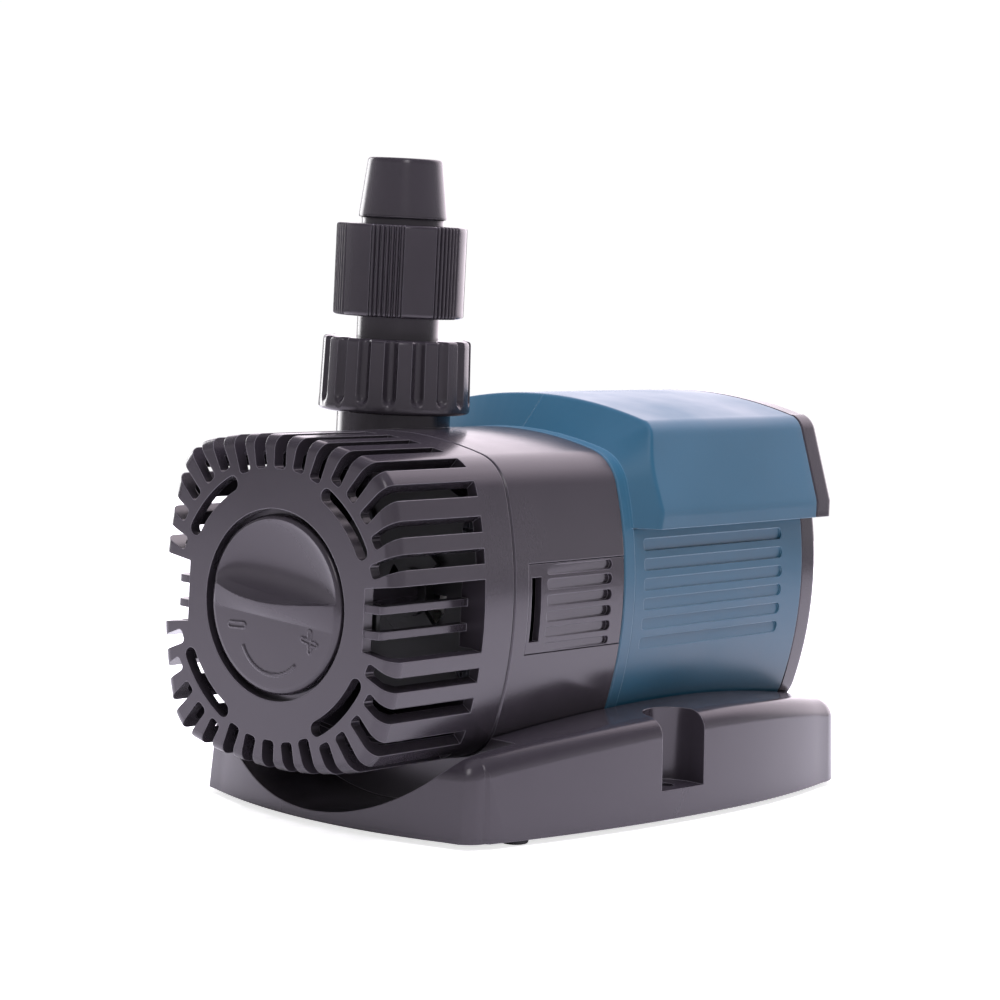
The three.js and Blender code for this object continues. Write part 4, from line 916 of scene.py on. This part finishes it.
def surface(name, colour, rough, edge_highlight_colour, edge=0.5, metallic=0.0, ior=1.5, tint=(1, 1, 1), blotch=26.0,
            grain=900.0, grain_bump=0.05, spread=0.14, stretch=(1, 1, 1), bands=None, radius=0.0004):
    """Base colour with soft blotches and painted edge highlights, uneven gloss, and a fine grain in relief.

    bands is (bands per metre, strength): ridges along Y, for wound wire and stacked sheets.
    """
    material = bpy.data.materials.new(name)
    material.use_nodes = True
    nodes, links = material.node_tree.nodes, material.node_tree.links
    shader = nodes["Principled BSDF"]
    shader.inputs["IOR"].default_value = ior
    shader.inputs["Metallic"].default_value = metallic
    shader.inputs["Specular Tint"].default_value = (*tint, 1)
    place = add(nodes, "ShaderNodeTexCoord")
    sized = add(nodes, "ShaderNodeMapping", Scale=stretch)
    links.new(place.outputs["Object"], sized.inputs["Vector"])
    flow = add(nodes, "ShaderNodeTexNoise", Scale=blotch, Detail=4.0, Roughness=0.55)
    fine = add(nodes, "ShaderNodeTexNoise", Scale=grain, Detail=2.0, Roughness=0.5)
    for node in (flow, fine):
        links.new(sized.outputs["Vector"], node.inputs["Vector"])

    soft = add(nodes, "ShaderNodeBevel", samples=6, Radius=radius)
    flat = add(nodes, "ShaderNodeNewGeometry")
    dot = add(nodes, "ShaderNodeVectorMath", operation="DOT_PRODUCT")
    links.new(soft.outputs["Normal"], dot.inputs[0])
    links.new(flat.outputs["Normal"], dot.inputs[1])
    # Painted highlight: where the bevel's normal turns away from the face's, the colour goes towards the edge
    # colour, by up to edge.
    rim = add(nodes, "ShaderNodeMapRange")
    rim.inputs["From Min"].default_value = 0.995
    rim.inputs["From Max"].default_value = 0.86
    rim.inputs["To Max"].default_value = edge
    links.new(dot.outputs["Value"], rim.inputs["Value"])

    tone = add(nodes, "ShaderNodeMix", data_type="RGBA")
    tone.inputs["A"].default_value = (*[c * (1 - spread) for c in colour], 1)
    tone.inputs["B"].default_value = (*[min(1, c * (1 + spread)) for c in colour], 1)
    links.new(flow.outputs["Fac"], tone.inputs["Factor"])
    edge_highlight_mix = add(nodes, "ShaderNodeMix", data_type="RGBA")
    edge_highlight_mix.inputs["B"].default_value = (*edge_highlight_colour, 1)
    links.new(tone.outputs["Result"], edge_highlight_mix.inputs["A"])
    links.new(rim.outputs["Result"], edge_highlight_mix.inputs["Factor"])
    links.new(edge_highlight_mix.outputs["Result"], shader.inputs["Base Color"])

    gloss = add(nodes, "ShaderNodeMapRange")
    gloss.inputs["From Min"].default_value = 0.3
    gloss.inputs["From Max"].default_value = 0.75
    gloss.inputs["To Min"].default_value = rough * 0.82
    gloss.inputs["To Max"].default_value = rough * 1.3
    links.new(flow.outputs["Fac"], gloss.inputs["Value"])
    links.new(gloss.outputs["Result"], shader.inputs["Roughness"])

    peel = add(nodes, "ShaderNodeBump", Strength=grain_bump, Distance=0.0002)
    links.new(fine.outputs["Fac"], peel.inputs["Height"])
    links.new(soft.outputs["Normal"], peel.inputs["Normal"])
    relief = peel
    if bands:
        pitch, strength = bands
        wave = add(nodes, "ShaderNodeTexWave", bands_direction="Y", Scale=pitch, Distortion=0.6, Detail=1.0)
        links.new(place.outputs["Object"], wave.inputs["Vector"])
        relief = add(nodes, "ShaderNodeBump", Strength=strength, Distance=0.0003)
        links.new(wave.outputs["Fac"], relief.inputs["Height"])
        links.new(peel.outputs["Normal"], relief.inputs["Normal"])
    links.new(relief.outputs["Normal"], shader.inputs["Normal"])
    return material


def assign(objects, material):
    for obj in objects:
        obj.data.materials.clear()
        obj.data.materials.append(material)


TINT = (1.0, 0.95, 1.0)
# The third colour of each surface is its painted edge highlight.
black = surface("black_plastic", (0.021, 0.018, 0.022), 0.21, (0.2, 0.19, 0.21), tint=TINT)
blue = surface("blue_plastic", (0.014, 0.066, 0.106), 0.35, (0.2, 0.33, 0.42), tint=TINT, edge=0.4, ior=1.44)
# Darker than the black plastic: painted shade for the parts deep in the cage and housing; the gland body
# shares it.
inner = surface("inner_plastic", (0.006, 0.006, 0.0065), 0.45, (0.03, 0.03, 0.03), edge=0.3)
rubber = surface("soft_rubber", (0.012, 0.012, 0.013), 0.75, (0.03, 0.03, 0.03), grain=1600.0,
                 grain_bump=0.25)
white = surface("impeller_white", (0.76, 0.75, 0.71), 0.42, (0.9, 0.9, 0.88), spread=0.05)
ceramic = surface("ceramic_white", (0.84, 0.82, 0.77), 0.14, (0.9, 0.9, 0.88), spread=0.03, grain_bump=0.02)
ferrite = surface("ground_ferrite", (0.042, 0.042, 0.045), 0.5, (0.16, 0.16, 0.17), grain=1500.0,
                  grain_bump=0.2)
resin = surface("cast_resin", (0.09, 0.08, 0.07), 0.55, (0.16, 0.15, 0.13), grain=500.0, grain_bump=0.15)
bright_steel = surface("bright_steel", (0.55, 0.56, 0.58), 0.24, (0.8, 0.8, 0.82), metallic=1.0, blotch=180.0,
                       grain=2200.0, grain_bump=0.08, spread=0.1)
dark_steel = surface("dark_steel", (0.035, 0.036, 0.04), 0.4, (0.2, 0.2, 0.22), metallic=1.0, blotch=180.0,
                     grain=2200.0, grain_bump=0.1, spread=0.15)
core_steel = surface("core_sheets", (0.24, 0.24, 0.25), 0.42, (0.4, 0.4, 0.42), metallic=1.0,
                     bands=(320.0, 0.5))
copper = surface("enamelled_copper", (0.48, 0.19, 0.07), 0.3, (0.7, 0.36, 0.18), metallic=1.0,
                 bands=(260.0, 0.8))

assign(BLACK, black)
assign(BLUE, blue)
assign(RUBBER, rubber)
assign(INNER, inner)
assign(BRIGHT, bright_steel)
assign(DARK, dark_steel)
LOOKS = {
    "flow_shutter": inner, "knob_retainer": inner, "suction_plate": inner, "rotor_can": inner,
    "impeller": white, "rotor_magnet": ferrite, "rotor_shaft": ceramic,
    "front_bush": rubber, "rear_bush": rubber, "can_o_ring": rubber, "spigot_gasket": rubber,
    "stator_core": core_steel, "coil_upper": copper, "coil_lower": copper, "potting_resin": resin,
}
for name, material in LOOKS.items():
    assign([NODES[name]], material)


# ---------------------------------------------------------------- stage and light

def add_stage():
    """White floor around the pump, lit by the lamps, that the camera sees a little brighter than it is."""
    mesh = bpy.data.meshes.new("floor")
    r = 0.72
    mesh.from_pydata([(-r, -r, 0), (r, -r, 0), (r, r, 0), (-r, r, 0)], [], [(0, 1, 2, 3)])
    floor = bpy.data.objects.new("floor", mesh)
    floor.location.z = -0.0002
    bpy.context.scene.collection.objects.link(floor)
    material = bpy.data.materials.new("floor_white")
    material.use_nodes = True
    nodes, links = material.node_tree.nodes, material.node_tree.links
    shader = nodes["Principled BSDF"]
    shader.inputs["Base Color"].default_value = (0.93, 0.93, 0.93, 1)
    shader.inputs["Roughness"].default_value = 0.7
    shader.inputs["Emission Color"].default_value = (1, 1, 1, 1)
    seen = add(nodes, "ShaderNodeLightPath")
    lift = add(nodes, "ShaderNodeMath", operation="MULTIPLY")
    lift.inputs[1].default_value = 0.72
    links.new(seen.outputs["Is Camera Ray"], lift.inputs[0])
    links.new(lift.outputs["Value"], shader.inputs["Emission Strength"])
    floor.data.materials.append(material)


def add_world():
    """White to the camera; to everything else a dim tent with a bright horizon and a bright back wall."""
    world = bpy.data.worlds.new("studio")
    bpy.context.scene.world = world
    world.use_nodes = True
    nodes, links = world.node_tree.nodes, world.node_tree.links
    background = nodes["Background"]
    place = add(nodes, "ShaderNodeTexCoord")
    split = add(nodes, "ShaderNodeSeparateXYZ")
    links.new(place.outputs["Generated"], split.inputs["Vector"])
    height = add(nodes, "ShaderNodeMapRange")
    height.inputs["From Min"].default_value = -1
    links.new(split.outputs["Z"], height.inputs["Value"])
    tent = add(nodes, "ShaderNodeValToRGB")
    # (height from straight down at 0 to straight up at 1, brightness)
    steps = [(0.0, 0.4), (0.48, 0.4), (0.515, 1.0), (0.58, 0.82), (0.66, 0.5), (0.75, 0.32), (0.86, 0.3),
             (0.97, 0.5)]
    while len(tent.color_ramp.elements) < len(steps):
        tent.color_ramp.elements.new(0.5)
    for element, (at, level) in zip(tent.color_ramp.elements, steps):
        element.position = at
        element.color = (level, level * 0.97, level * 1.04, 1)
    links.new(height.outputs["Result"], tent.inputs["Fac"])
    facing_back = add(nodes, "ShaderNodeVectorMath", operation="DOT_PRODUCT")
    facing_back.inputs[1].default_value = Vector((-0.25, 0.88, 0.39)).normalized()
    links.new(place.outputs["Generated"], facing_back.inputs[0])
    wall = add(nodes, "ShaderNodeMapRange", interpolation_type="SMOOTHSTEP")
    wall.inputs["From Min"].default_value = 0.68
    wall.inputs["From Max"].default_value = 0.93
    wall.inputs["To Max"].default_value = 1.0
    links.new(facing_back.outputs["Value"], wall.inputs["Value"])
    bright = add(nodes, "ShaderNodeMix", data_type="RGBA", blend_type="ADD")
    bright.inputs["B"].default_value = (2.05, 1.8, 1.98, 1)
    links.new(tent.outputs["Color"], bright.inputs["A"])
    links.new(wall.outputs["Result"], bright.inputs["Factor"])
    seen = add(nodes, "ShaderNodeLightPath")
    shown = add(nodes, "ShaderNodeMix", data_type="RGBA")
    shown.inputs["B"].default_value = (1.02, 1.02, 1.02, 1)
    links.new(bright.outputs["Result"], shown.inputs["A"])
    links.new(seen.outputs["Is Camera Ray"], shown.inputs["Factor"])
    links.new(shown.outputs["Result"], background.inputs["Color"])


def add_light(name, place, target, size, energy, colour=(1, 1, 1), shiny=True):
    """Area lamp aimed at a target; one that isn't shiny leaves no reflection."""
    data = bpy.data.lights.new(name, "AREA")
    data.shape = "RECTANGLE"
    data.size, data.size_y = size
    data.energy = energy
    data.color = colour
    light = bpy.data.objects.new(name, data)
    light.location = place
    light.rotation_euler = (Vector(target) - Vector(place)).to_track_quat("-Z", "Y").to_euler()
    light.visible_glossy = shiny
    bpy.context.scene.collection.objects.link(light)


add_stage()
add_world()
add_light("top_box", (0.1, 0.1, 1.7), (0.1, 0.1, 0), (1.7, 1.7), 67, (1.0, 0.96, 1.14), shiny=False)
add_light("right_strip", (0.75, -0.75, 0.9), (0, 0, 0.08), (0.25, 0.6), 2.5)
add_light("left_strip", (-1.2, 0.15, 0.3), (0, 0, 0.15), (0.5, 0.8), 6)
bpy.context.scene.view_settings.view_transform = "Standard"
